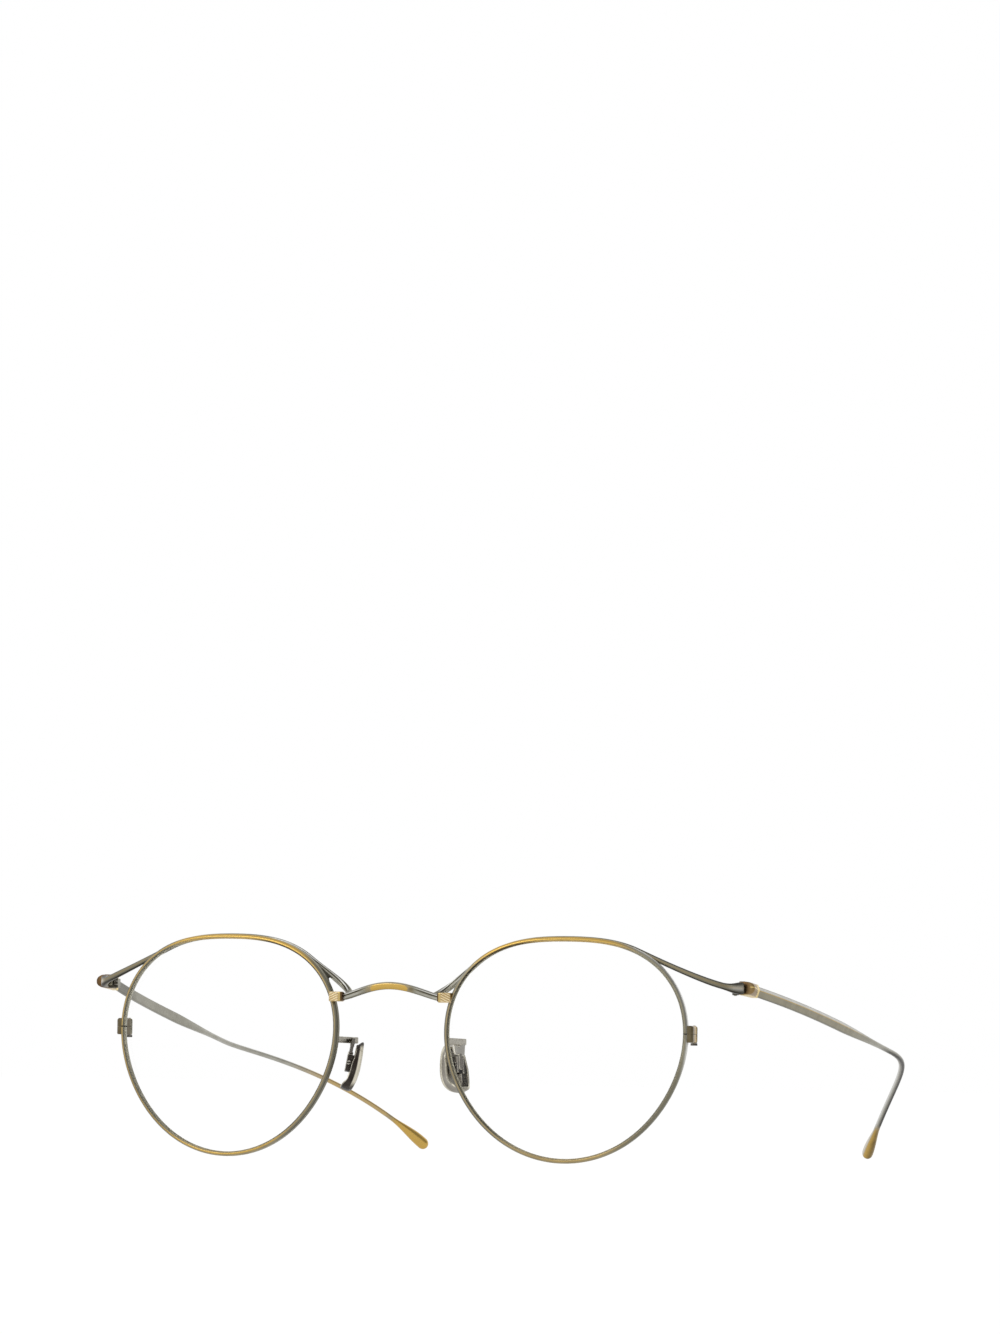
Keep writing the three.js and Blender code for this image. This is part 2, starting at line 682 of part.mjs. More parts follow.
function padOutline(inset) {
  const squared = (share) => Math.sign(share) * Math.abs(share) ** (2 / PAD_SQUARE);
  const points = Array.from({ length: PAD_STEPS }, (_, i) => {
    const angle = (2 * Math.PI * i) / PAD_STEPS;
    const across = squared(Math.cos(angle));
    const along = squared(Math.sin(angle));
    const width = (PAD_WIDTH / 2 - inset) * (1 - PAD_TAPER * along);
    return new THREE.Vector2(width * across, (PAD_HEIGHT / 2 - inset) * along);
  });
  return new THREE.Shape(points);
}

function nosePad() {
  const half = PAD_THICKNESS / 2;
  const plate = extruded(padOutline(0), PAD_THICKNESS).translate(0, 0, -half);
  const recess = extruded(padOutline(PAD_BORDER), PAD_THICKNESS).translate(0, 0, half - PAD_RECESS);
  return cut(plate, recess).applyMatrix4(alongPad);
}

// The clip on the pad's back: a floor and two cheeks, one on each side of the arm's tongue.
const boxInside = TONGUE_WIDTH / 2 + PLAY;
const boxFloor = PAD_THICKNESS / 2 - PAD_RECESS + SOLDER;
const boxTop = LEG_OUT + TONGUE_THICKNESS / 2;
const boxHigh = PAD_PIN_RISE + BOX_HEIGHT / 2;
const pinSpace = (radius) =>
  rod(radius, -PAD_WIDTH / 2, PAD_WIDTH / 2)
    .rotateX(Math.PI / 2)
    .translate(LEG_OUT, 0, PAD_PIN_RISE);

function padBox() {
  const side = boxInside + BOX_WALL;
  const low = PAD_PIN_RISE - BOX_HEIGHT / 2;
  const whole = block([boxFloor, boxTop], [-side, side], [low, boxHigh]);
  const slot = block([boxFloor + BOX_WALL, boxTop + 1], [-boxInside, boxInside], [low - 1, boxHigh + 1]);
  return cut(whole, slot, pinSpace(PAD_SCREW / 2 + FIT));
}

function padScrew() {
  const side = boxInside + BOX_WALL;
  return screw(PAD_SCREW, -side, side, PAD_SCREW_HEAD, PAD_SCREW_HEAD_HEIGHT)
    .rotateX(Math.PI / 2)
    .translate(LEG_OUT, 0, PAD_PIN_RISE);
}

// The arm: straight back from the rim, round a hairpin, forward again and down to a flat tongue
// in the clip.
function padArm() {
  const root = rimPoint(ARM_ANGLE, 0, 0).applyMatrix4(eyeFrame);
  const far = vec(root.x, root.y + ARM_REACH, root.z - ARM_FALL);
  const legEnd = padPoint(LEG_OUT, 0, boxHigh + PLAY);
  const legRise = padPoint(LEG_OUT, 0, 2 * PAD_HEIGHT).sub(legEnd).normalize();
  const legTop = ahead(legEnd, legRise, (far.z - legEnd.z) / legRise.z);
  const turn = vec(legTop.x, far.y, far.z);
  const bulge = vec(0, ((root.x - legTop.x) * 2) / 3, 0);
  const line = new THREE.CurvePath();
  line.add(new THREE.LineCurve3(root, far));
  line.add(new THREE.CubicBezierCurve3(far, far.clone().add(bulge), turn.clone().add(bulge), turn));
  const bendStart = vec(legTop.x, legTop.y + ARM_BEND, legTop.z);
  const bendEnd = ahead(legTop, legRise, -ARM_BEND);
  line.add(new THREE.LineCurve3(turn, bendStart));
  line.add(new THREE.QuadraticBezierCurve3(bendStart, legTop, bendEnd));
  line.add(new THREE.LineCurve3(bendEnd, legEnd));
  const steps = (curve) => (curve.isLineCurve3 ? 1 : ARM_BEND_STEPS);
  const points = line.curves.flatMap((curve) => curve.getPoints(steps(curve)).slice(0, -1));
  const section = eightSided(ARM_THICKNESS, ARM_HEIGHT, ARM_CHAMFER);
  const arm = sweep([...points, legEnd], UP, () => section, true);
  const reach = (2 * ARM_HEIGHT) / LENS_HEIGHT;
  const space = rimSpace(ARM_ANGLE - 2 * reach, ARM_ANGLE + 2 * reach).applyMatrix4(eyeFrame);
  const half = TONGUE_WIDTH / 2;
  const tongue = block(
    [LEG_OUT - TONGUE_THICKNESS / 2, LEG_OUT + TONGUE_THICKNESS / 2],
    [-half, half],
    [PAD_PIN_RISE - TONGUE_END, boxHigh + ARM_HEIGHT / 2],
  ).applyMatrix4(padFrame);
  const eye = pinSpace(PAD_SCREW / 2 + PLAY).applyMatrix4(padFrame);
  return cut(join(arm, tongue), space, eye);
}

// Finishes: aged gold, polished gold, plain steel and clear lenses

const agedGold = { color: 0x8a8468, roughness: 0.38, metalness: 1 };
const brightGold = { color: 0xc9a24e, roughness: 0.3, metalness: 1 };
const steel = { color: 0xa5a196, roughness: 0.32, metalness: 1 };
const clear = { color: 0xf4f7f6, roughness: 0.04, metalness: 0, transparent: true, opacity: 0.12 };

function piece(name, geometry, finish) {
  geometry.computeVertexNormals();
  const mesh = new THREE.Mesh(geometry, new THREE.MeshStandardMaterial(finish));
  mesh.name = name;
  return mesh;
}

function placed(frame, ...pieces) {
  const group = new THREE.Group();
  group.applyMatrix4(frame);
  group.add(...pieces);
  return group;
}

// One side of the glasses, built on +X.
function side(name) {
  const split = new THREE.Matrix4().setPosition(splitAt);
  const parting = SPLIT_GAP / 2;
  const closer = placed(
    split,
    piece("closing_block_upper_" + name, closingBlock(parting, closerTop), agedGold),
    piece("closing_block_lower_" + name, closingBlock(-closerTop, -parting), agedGold),
    piece("closing_screw_" + name, closingScrew(), steel),
  );
  const eye = placed(
    eyeFrame,
    piece("rim_" + name, rim(), agedGold),
    piece("lens_" + name, lens(), clear),
    closer,
  );
  const hinge = placed(
    hingeFrame,
    piece("endpiece_" + name, endpiece(), agedGold),
    piece("hinge_leaf_" + name, hingeLeaf(), agedGold),
    piece("hinge_screw_" + name, hingeScrew(), steel),
  );
  const pad = placed(
    padFrame,
    piece("nose_pad_" + name, nosePad(), steel),
    piece("pad_box_" + name, padBox(), steel),
    piece("pad_screw_" + name, padScrew(), steel),
  );
  const half = new THREE.Group();
  half.add(
    eye,
    hinge,
    pad,
    piece("pad_arm_" + name, padArm(), steel),
    piece("bridge_collar_" + name, bridgeCollar(), brightGold),
    piece("brow_wire_" + name, browWire(), agedGold),
    piece("temple_collar_" + name, templeCollar(), brightGold),
    piece("temple_" + name, temple(), agedGold),
  );
  return half;
}

const left = side("left");
const right = side("right");
right.scale.x = -1;

const eyeglasses = new THREE.Group();
eyeglasses.add(left, right, piece("bridge", bridge(), agedGold));
eyeglasses.updateMatrixWorld(true);
const box = new THREE.Box3().setFromObject(eyeglasses, true);
eyeglasses.position.set(0, -(box.min.y + box.max.y) / 2, -box.min.z);

export default eyeglasses;
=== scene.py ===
# %% [markdown]
# # Round eyeglasses with brow wires
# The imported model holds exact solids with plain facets. This lesson builds a finer skin for each of
# them from the same measurements, so that the wires look drawn and polished, and makes every finish
# from shader nodes. Lengths are written in millimetres, as a frame maker writes them, and become
# metres only when a mesh is made.

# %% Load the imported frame
import functools
import math

import bpy
import numpy as np
from mathutils import Matrix, Vector


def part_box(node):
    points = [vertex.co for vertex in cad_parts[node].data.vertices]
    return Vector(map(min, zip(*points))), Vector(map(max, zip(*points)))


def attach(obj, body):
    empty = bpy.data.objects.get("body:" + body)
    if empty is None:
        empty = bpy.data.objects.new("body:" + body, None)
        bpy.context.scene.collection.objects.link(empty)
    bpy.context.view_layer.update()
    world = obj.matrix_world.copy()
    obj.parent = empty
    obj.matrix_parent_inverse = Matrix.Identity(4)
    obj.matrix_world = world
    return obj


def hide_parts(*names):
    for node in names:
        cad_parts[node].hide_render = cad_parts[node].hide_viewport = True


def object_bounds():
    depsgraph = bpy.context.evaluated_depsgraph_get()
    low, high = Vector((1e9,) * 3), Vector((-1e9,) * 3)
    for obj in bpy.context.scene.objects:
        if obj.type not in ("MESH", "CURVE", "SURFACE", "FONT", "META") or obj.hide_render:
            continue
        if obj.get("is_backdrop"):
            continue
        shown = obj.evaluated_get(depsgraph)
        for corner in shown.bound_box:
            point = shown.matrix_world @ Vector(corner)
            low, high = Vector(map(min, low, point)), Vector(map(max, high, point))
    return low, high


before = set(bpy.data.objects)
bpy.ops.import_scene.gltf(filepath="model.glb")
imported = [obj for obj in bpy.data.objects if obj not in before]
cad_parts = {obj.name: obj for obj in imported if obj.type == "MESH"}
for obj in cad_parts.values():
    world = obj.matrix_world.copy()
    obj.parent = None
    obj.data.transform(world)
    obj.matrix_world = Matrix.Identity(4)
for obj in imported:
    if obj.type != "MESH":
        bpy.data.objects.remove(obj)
cad_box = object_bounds()

# %% [markdown]
# ## Skins in mesh code
# Nearly every piece of a metal frame is a wire or bar: one section carried along a line. A wire could
# be a Blender curve with a bevel object, but a section that changes on its way, such as a flare or a
# groove that fades out, needs each ring in hand. So a skin here is a stack of rings of points. Each
# point also carries three marks for the finish: how far it is wiped to gold; how dark it is, from dark
# plating left in hollows and from painted shade; and how light it is, from metal bared by wear and
# from painted highlights.

# %% A skin and its rings
def unit(vectors):
    return vectors / np.linalg.norm(vectors, axis=-1, keepdims=True)


# The marks: gold where wiped; dark for plating left in hollows and for painted shade; light for bared metal and
# for painted highlights.
MARKS = ("gilt", "hollow_and_shade", "bare")


class Skin:
    """Points in millimetres, the faces between them, and the finish marks of each point."""

    def __init__(self, points, faces, marks):
        self.points, self.faces, self.marks = points, faces, marks

    def __add__(self, other):
        faces = self.faces + [[i + len(self.points) for i in face] for face in other.faces]
        points = np.concatenate([self.points, other.points])
        return Skin(points, faces, np.concatenate([self.marks, other.marks]))

    def placed(self, turn, at=(0, 0, 0)):
        return Skin(self.points @ np.array(turn).T + np.array(at), self.faces, self.marks)

    def mirrored(self):
        return Skin(self.points * (-1, 1, 1), [face[::-1] for face in self.faces], self.marks)

    def volume(self):
        fans = [(f[0], f[i], f[i + 1]) for f in self.faces for i in range(1, len(f) - 1)]
        a, b, c = (self.points[list(corner)] for corner in zip(*fans))
        return float((a * np.cross(b, c)).sum()) / 6


def skin(rings, gilt=0.0, hollow_and_shade=0.0, bare=0.0):
    """A closed skin over rings of points, with a flat cap at both ends, facing outwards."""
    rows, count = rings.shape[:2]
    marks = np.stack([np.broadcast_to(mark, (rows, count)) for mark in (gilt, hollow_and_shade, bare)], -1)
    last = (rows - 1) * count
    faces = [list(range(count))[::-1], list(range(last, last + count))]
    for row in range(0, last, count):
        for i in range(count):
            a, b = row + i, row + (i + 1) % count
            faces.append([a, b, b + count, a + count])
    made = Skin(rings.reshape(-1, 3), faces, marks.reshape(-1, 3))
    if made.volume() < 0:
        made.faces = [face[::-1] for face in faces]
    return made


print("a test block holds", skin(np.array([[[x, y, z] for x, y in [(0, 0), (1, 0), (1, 1), (0, 1)]]
                                           for z in (0, 2)], float)).volume(), "mm3")

# %% [markdown]
# ## Sections and lines
# Drawn wire has no knife edges: every corner of a section gets a small curve, which is what catches
# the light as a thin bright line. Beziers draw the lines that the sections follow, and points at even
# distances keep the faces even.

# %% Section corners, curves and the carrying of a section
UP = np.array([0.0, 0.0, 1.0])


def profile(corners, soft, arc=3, split=3):
    """A closed section: a small curve at each corner, and points between the corners."""
    corners = np.asarray(corners, float)
    before, after = np.roll(corners, 1, 0), np.roll(corners, -1, 0)
    lead = np.minimum(soft, 0.45 * np.linalg.norm(corners - before, axis=1))[:, None]
    trail = np.minimum(soft, 0.45 * np.linalg.norm(after - corners, axis=1))[:, None]
    start = corners + unit(before - corners) * lead
    end = corners + unit(after - corners) * trail
    t = np.linspace(0, 1, arc + 1)[:, None]
    points = []
    for a, c, b, onward in zip(start, corners, end, np.roll(start, -1, 0)):
        points.extend((1 - t) ** 2 * a + 2 * t * (1 - t) * c + t**2 * b)
        points.extend(b + (onward - b) * k / split for k in range(1, split))
    return np.array(points)


def eight_sided(width, height, chamfer):
    x, y, c = width / 2, height / 2, chamfer
    return [(x, c - y), (x, y - c), (x - c, y), (c - x, y),
            (-x, y - c), (-x, c - y), (c - x, -y), (x - c, -y)]


def bezier(a, b, c, d, steps=60):
    t = np.linspace(0, 1, steps + 1)[:, None]
    return (1 - t) ** 3 * a + 3 * t * (1 - t) ** 2 * b + 3 * t**2 * (1 - t) * c + t**3 * d


def run(path):
    """Distance along a path, at each of its points."""
    return np.concatenate([[0], np.cumsum(np.linalg.norm(np.diff(path, axis=0), axis=1))])


def respaced(path, stations):
    along = run(path)
    return np.stack([np.interp(stations, along, path[:, k]) for k in range(3)], -1)


def carry(path, sections, carried=False):
    """Rings of a section along a path. A section point is (right of the way, upright)."""
    way = unit(np.gradient(path, axis=0))
    right = unit(np.cross(way, UP)) if not carried else np.zeros_like(path)
    upright = UP
    for i in range(len(path) if carried else 0):
        right[i] = unit(np.cross(way[i], upright))
        upright = np.cross(right[i], way[i])
    rise = np.cross(right, way)
    sections = np.broadcast_to(sections, (len(path), *np.shape(sections)[-2:]))
    return path[:, None] + sections[..., :1] * right[:, None] + sections[..., 1:] * rise[:, None]


def ease(value, low, high):
    t = np.clip((np.asarray(value, float) - low) / (high - low), 0, 1)
    return t * t * (3 - 2 * t)


def span(value, low, high, soft):
    """1 between two limits, 0 outside them, with soft borders."""
    return ease(value, low - soft, low + soft) * (1 - ease(value, high - soft, high + soft))


def facing(sections, turn, width):
    """How nearly each point of a section faces a turn in degrees: 0 is to the right, 90 is up."""
    away = np.degrees(np.arctan2(sections[..., 1], sections[..., 0])) - turn
    return np.exp(-((((away + 180) % 360 - 180) / width) ** 2))


def most(*shares):
    """The largest of several shares, point by point."""
    return functools.reduce(np.maximum, shares)


print("a softened square has", len(profile([(1, 1), (-1, 1), (-1, -1), (1, -1)], 0.2)), "points")

# %% [markdown]
# ## Shader maths as sums
# A finish is a sum of masks, and a sum is easier to read than a wall of nodes. The small class below
# wraps a node's output, so that `1 - mask * 0.5` adds the Math nodes by itself. Colours go through Mix
# nodes, because a Math node would turn them grey.

# %% Sums on sockets, and a tree that adds nodes
class Signal:
    """A node's output that takes part in sums."""

    def __init__(self, tree, socket):
        self.tree, self.socket = tree, socket

    def maths(self, operation, *values):
        return self.tree.node("ShaderNodeMath", {"operation": operation}, dict(enumerate(values)))

    def __add__(self, other):
        return self.maths("ADD", self, other)

    def __sub__(self, other):
        return self.maths("SUBTRACT", self, other)

    def __rsub__(self, other):
        return self.maths("SUBTRACT", other, self)

    def __mul__(self, other):
        return self.maths("MULTIPLY", self, other)

    __radd__ = __add__
    __rmul__ = __mul__

    def between(self, low, high):
        ends = {"Value": self, "From Min": low, "From Max": high}
        return self.tree.node("ShaderNodeMapRange", {"interpolation_type": "SMOOTHSTEP"}, ends)


class Tree:
    """A node tree of a material or of the world."""

    def __init__(self, owner):
        owner.use_nodes = True
        self.nodes, self.links = owner.node_tree.nodes, owner.node_tree.links

    def join(self, value, socket):
        if isinstance(value, Signal):
            self.links.new(value.socket, socket)
        else:
            socket.default_value = value

    def node(self, kind, settings={}, sockets={}, out=0):
        made = self.nodes.new(kind)
        for name, value in settings.items():
            setattr(made, name, value)
        for name, value in sockets.items():
            self.join(value, made.inputs[name])
        return Signal(self, made.outputs[out])

    def blend(self, share, first, second):
        return self.node("ShaderNodeMix", {"data_type": "RGBA"}, {0: share, 6: first, 7: second}, 2)

    def noise(self, where, scale, detail=2.0):
        return self.node("ShaderNodeTexNoise", {}, {"Vector": where, "Scale": scale, "Detail": detail})

    def mark(self, name):
        return self.node("ShaderNodeAttribute", {"attribute_name": name}, {}, "Fac")


def tint(red, green, blue):
    """A colour as it is seen on a screen, 0 to 255, as the light that makes it."""
    def light(c):
        return c / 12.92 if c <= 0.04045 else ((c + 0.055) / 1.055) ** 2.4
    return (*(light(c / 255) for c in (red, green, blue)), 1.0)


print("mid grey is", round(tint(128, 128, 128)[0], 3), "of white light")

# %% [markdown]
# ## Metal finishes
# The frame is plated and then antiqued: dark plating is left in the grooves, some edges are rubbed
# back to gold, and others to pale metal. On top of that, painted shade darkens faces that the light
# misses, and painted highlights lighten faces that catch it, in the same dark and pale marks. A plater
# wipes it by hand, so the borders wander a little. One recipe makes the three metals: a body colour
# with slow clouds in it, the three marked colours, and fine grain in the roughness and the bump.

# %% The three metals
def metal(name, body, shade, gilt, bare, hollow_and_shade, rough):
    material = bpy.data.materials.new(name)
    tree = Tree(material)
    where = tree.node("ShaderNodeTexCoord", {}, {}, "Object")
    cloud = tree.noise(where, 420.0)
    grain = tree.noise(where, 5200.0, 3.0)
    wander = cloud * 0.6 + 0.7
    share = {mark: (tree.mark(mark) * wander).between(0.0, 1.0) for mark in MARKS}
    colour = tree.blend(cloud.between(0.3, 0.7), tint(*shade), tint(*body))
    # The light and the dark mark carry painted highlights and painted shade as well as bared metal and dark
    # plating.
    colour = tree.blend(share["bare"], colour, tint(*bare))
    colour = tree.blend(share["gilt"], colour, tint(*gilt))
    colour = tree.blend(share["hollow_and_shade"], colour, tint(*hollow_and_shade))
    bump = tree.node("ShaderNodeBump", {}, {"Strength": 0.03, "Distance": 0.00002, "Height": grain})
    surface = tree.nodes["Principled BSDF"]
    surface.inputs["Metallic"].default_value = 1.0
    tree.join(colour, surface.inputs["Base Color"])
    roughness = rough + grain * 0.12 + share["hollow_and_shade"] * 0.12 - share["gilt"] * 0.05
    tree.join(roughness, surface.inputs["Roughness"])
    tree.join(bump, surface.inputs["Normal"])
    print(name, "has", len(tree.nodes), "nodes")
    return material


aged_gold = metal("aged_gold", body=(146, 143, 126), shade=(136, 132, 115), gilt=(206, 170, 90),
                  bare=(214, 213, 208), hollow_and_shade=(46, 42, 36), rough=0.26)
bright_gold = metal("bright_gold", body=(205, 180, 132), shade=(187, 159, 107), gilt=(238, 212, 134),
                    bare=(231, 219, 187), hollow_and_shade=(96, 72, 46), rough=0.22)
satin_steel = metal("satin_steel", body=(184, 180, 170), shade=(158, 153, 143), gilt=(218, 212, 194),
                    bare=(226, 223, 214), hollow_and_shade=(46, 40, 36), rough=0.24)

# %% [markdown]
# ## Lens glass
# The lenses are plain clear glass. Glass this thin hardly bends what lies behind it, so the body lets
# light straight through, and a thin coat with the index of glass gives the reflections. The edge in
# the rim's groove is ground, so the coat ends there; the dark mark for hollows tells where that is.

# %% Clear glass
clear_glass = bpy.data.materials.new("clear_glass")
tree = Tree(clear_glass)
glass = tree.nodes["Principled BSDF"].inputs
tree.join((1 - tree.mark("hollow_and_shade")) * 0.35, glass["Coat Weight"])
constants = {"Base Color": (1, 1, 1, 1), "Roughness": 0.0, "IOR": 1.0, "Transmission Weight": 1.0,
             "Coat Roughness": 0.0, "Coat IOR": 1.5}
for socket, value in constants.items():
    glass[socket].default_value = value
print("clear glass, coat index", round(glass["Coat IOR"].default_value, 2))

# %% [markdown]
# ## From skins to pieces
# Each skin is made at the wearer's left and mirrored for the right. Where the two sides differ in wear
# and in painted highlights and painted shade, the same shape is made twice with other marks. Every piece
# rides on the body that carries it and stands for its solid in the imported model. The imported model
# puts the middle of the glasses at y = 0, so the bridge's front tells how far the lens plane lies before it.

# %% Making pieces
BRIDGE_FRONT = -1.95
LENS_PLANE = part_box("bridge")[0].y * 1000 - BRIDGE_FRONT
SMOOTH_BELOW = math.radians(32)
made = []


def piece(name, shape, finish, body, slot, *stands_for):
    mesh = bpy.data.meshes.new(name)
    points = (shape.points + (0, LENS_PLANE, 0)) * 0.001
    mesh.from_pydata(points.tolist(), [], shape.faces)
    for mark, values in zip(MARKS, shape.marks.T):
        data = mesh.attributes.new(mark, "FLOAT", "POINT").data
        data.foreach_set("value", np.ascontiguousarray(values, np.float32))
    mesh.shade_smooth()
    mesh.set_sharp_from_angle(angle=SMOOTH_BELOW)
    mesh.materials.append(finish)
    item = bpy.data.objects.new(name, mesh)
    bpy.context.collection.objects.link(item)
    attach(item, body)
    if stands_for:
        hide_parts(*stands_for)
    made.append(item)


def pair(name, shape, finish, body, slot, stands_for=None):
    """A left and a right piece; `{}` in a name is the side. Two skins may differ in wear and in painted light
    and shade.
    """
    left, right = shape if isinstance(shape, tuple) else (shape, shape)
    for side, form in (("left", left), ("right", right.mirrored())):
        nodes = [stands_for.format(side)] if stands_for else []
        piece(name.format(side), form, finish, body.format(side), slot, *nodes)
    print(name.format("*"), len(left.points), "points each")


print("lens plane at y =", round(LENS_PLANE, 2), "mm")

# %% [markdown]
# ## Rims
# A rim is grooved wire bent round a former: fuller above, narrower below, and cut through on the
# temple side to let the lens in. The outline is a circle with a few cosine terms, so one formula gives
# any point of the rim, the lens and all that is brazed to them. In front the wire has two slopes that
# meet in a narrow flat, which hands and cloths have rubbed to gold. On the temple side the left rim
# gets a painted highlight on its outer slope and wall, and the right rim painted shade on both slopes.

# %% The eye's outline
LENS_WIDTH, LENS_HEIGHT, LENS_GAP = 46.7, 42.2, 23.3
PANTO, CORNER = 0.9, 0.2
WRAP = math.radians(5.5)
LENS_CURVE = 130
RIM_WIDTH, RIM_DEPTH = 0.9, 1.45
EYE_AT = np.array([(LENS_GAP + LENS_WIDTH) / 2, 0, LENS_HEIGHT / 2 + PANTO + RIM_WIDTH / 2])
EYE_TURN = np.array(Matrix.Rotation(WRAP, 3, "Z"))


def outline(angle):
    radius = (LENS_WIDTH + LENS_HEIGHT) / 4 + CORNER * (1 - np.cos(4 * angle))
    radius = radius + (LENS_WIDTH - LENS_HEIGHT) / 4 * np.cos(2 * angle) + PANTO * np.sin(3 * angle)
    return np.stack([np.cos(angle), np.sin(angle)], -1) * radius[..., None]


def in_eye(angle, out, deep, share=1.0):
    """A point off the rim's mid line, in the eye's own frame."""
    angle, out, deep, share = np.broadcast_arrays(*(np.asarray(v, float) for v in (angle, out, deep, share)))
    along = unit(outline(angle + 1e-4) - outline(angle - 1e-4))
    outwards = np.stack([along[..., 1], -along[..., 0]], -1)
    flat = (outline(angle) + outwards * out[..., None]) * share[..., None]
    bowl = (flat**2).sum(-1) / (2 * LENS_CURVE)
    return np.stack([flat[..., 0], bowl + deep, flat[..., 1]], -1)


def rim_point(angle, out, deep, share=1.0):
    return in_eye(angle, out, deep, share) @ EYE_TURN.T + EYE_AT


print("top of the rim at", rim_point(math.pi / 2, 0, 0).round(2))

# %% Rims with a cut
SPLIT_ANGLE, SPLIT_GAP = math.radians(6), 0.012
RIDGE, FRONT_SLOPE, BACK_CHAMFER = 0.22, 0.4, 0.15
GROOVE_WIDTH, GROOVE_DEPTH = 0.6, 0.3
side, back = RIM_WIDTH / 2, RIM_DEPTH / 2
beside_cut = (SPLIT_GAP / 2 + np.array([0, 0.06, 0.13, 0.25, 0.45])) * 2 / LENS_WIDTH
once_round = np.linspace(beside_cut[-1], 2 * math.pi - beside_cut[-1], 285)
from_cut = np.concatenate([beside_cut[:-1], once_round, 2 * math.pi - beside_cut[-2::-1]])[:, None]
rim_angles = SPLIT_ANGLE + from_cut
rim_section = profile([
    (side, back - BACK_CHAMFER), (side, FRONT_SLOPE - back), (RIDGE / 2, -back), (-RIDGE / 2, -back),
    (-side, FRONT_SLOPE - back), (-side, -GROOVE_WIDTH / 2), (GROOVE_DEPTH - side, 0),
    (-side, GROOVE_WIDTH / 2), (-side, back - BACK_CHAMFER), (BACK_CHAMFER - side, back),
    (side - BACK_CHAMFER, back)], 0.06, arc=2, split=3)
out, deep = rim_section.T
turn = np.degrees(rim_angles) % 360
crown, nose_side, foot = span(turn, 58, 138, 12), span(turn, 150, 238, 12), span(turn, 238, 302, 22)
temple_side = np.clip(1 - crown - nose_side - foot, 0, 1)
front = 1 - ease(deep, -0.4, -0.2)
ridge = front * (1 - ease(np.abs(out), 0.11, 0.17))
outer_slope, inner_slope = front * ease(out, 0.1, 0.18), front * ease(-out, 0.1, 0.18)
cut = 1 - ease(np.minimum(from_cut, 2 * math.pi - from_cut) * LENS_WIDTH / 2, 0.06, 0.16)
to_nose, low_side = span(turn, 108, 150, 10), span(turn, 296, 352, 14)
outer_wall, inner_wall = out > 0.4, out < -0.4


def rim(tan, outer_lit):
    """A rim with a tan ridge. Its temple side gets a painted highlight outside, or else painted shade on both
    slopes.
    """
    gilt = most(ridge * (tan + (1 - tan) * crown + (0.35 - tan) * nose_side + 0.4 * foot),
                outer_slope * (0.95 * crown + 0.35 * foot) + inner_slope * (0.6 * crown + 0.35 * foot))
    # Darker on the nose side, most on its inner slope, and low on the temple side.
    rim_darkening = most(inner_slope * (0.65 * nose_side + 0.8 * to_nose),
                 0.35 * (outer_slope + outer_wall) * nose_side, 0.35 * low_side)
    # The lit rim gets a painted highlight on the temple side's outer slope and wall; the other gets painted
    # shade on both temple-side slopes, with its inner wall a little lighter.
    if outer_lit:
        pale_and_highlight = most(0.4 * outer_slope, outer_wall) * temple_side * (1 - low_side)
    else:
        pale_and_highlight = 0.3 * inner_wall * temple_side
        rim_darkening = most(rim_darkening, 0.5 * (outer_slope + inner_slope) * temple_side)
    return skin(rim_point(rim_angles, out, deep), np.minimum(gilt, 1), most(rim_darkening, cut), pale_and_highlight)


pair("eyewire_{}", (rim(0.15, True), rim(0.6, False)), aged_gold, "front", "aged_gold", "rim_{}")

# %% [markdown]
# ## Lenses
# A lens is a shallow dish of even thickness with a bevelled edge that snaps into the rim's groove. The
# faces are rings of the rim's own outline, drawn in towards the centre.

# %% Lenses with a bevelled edge
LENS_THICKNESS, FIT = 1.5, 0.06
edge, half = -side - FIT, LENS_THICKNESS / 2
round_lens = np.linspace(0, 2 * math.pi, 192, endpoint=False)
shares = np.append(np.linspace(0.04, 0.97, 12), 1)
steps = [(share, edge, -half) for share in shares] + [
    (1, edge, -GROOVE_WIDTH / 2), (1, edge + GROOVE_DEPTH, 0), (1, edge, GROOVE_WIDTH / 2)]
steps += [(share, edge, half) for share in shares[::-1]]
dish = np.stack([rim_point(round_lens, reach, depth, share) for share, reach, depth in steps])
ground = np.array([share == 1 for share, reach, depth in steps], float)[:, None]
pair("lens_glass_{}", skin(dish, hollow_and_shade=ground), clear_glass, "front", "lens", "lens_{}")

# %% [markdown]
# ## Closing blocks
# The cut rim is pulled together over its lens by a screw through two lugs. Each lug is a small plate
# with a round end, sawn apart from its twin after brazing, so its outline is extruded with eased
# edges. A turned skin makes the screw, and two half discs on its head leave the driver slot between.

# %% Slabs, turned pieces and slotted screws
def slab(shape, low, high, edge, worn=0.6, hollow_and_shade=0.0, gilt=0.0):
    """An outline pushed out in eight rings. Its eased edges, one size or (low, high), are worn bright."""
    low_edge, high_edge = np.broadcast_to(edge, 2)
    shape = np.asarray(shape, float)
    along = unit(np.roll(shape, -1, 0) - np.roll(shape, 1, 0))
    inwards = np.stack([-along[:, 1], along[:, 0]], -1)
    x, y = shape.T
    if (x * np.roll(y, -1) - y * np.roll(x, -1)).sum() < 0:
        inwards = -inwards
    turns = np.linspace(0, math.pi / 2, 4)
    inset, rise = 1 - np.sin(turns), 1 - np.cos(turns)
    heights = np.concatenate([low + low_edge * rise, high - high_edge * rise[::-1]])
    insets = np.concatenate([low_edge * inset, high_edge * inset[::-1]])
    flat = shape + inwards * insets[:, None, None]
    rings = np.concatenate([flat, np.broadcast_to(heights[:, None, None], (*flat.shape[:2], 1))], -1)
    wear = np.array([0, 1, 1, 0, 0, 1, 1, 0])[:, None] * worn
    return skin(rings, most(wear * (1 - hollow_and_shade), gilt), hollow_and_shade)


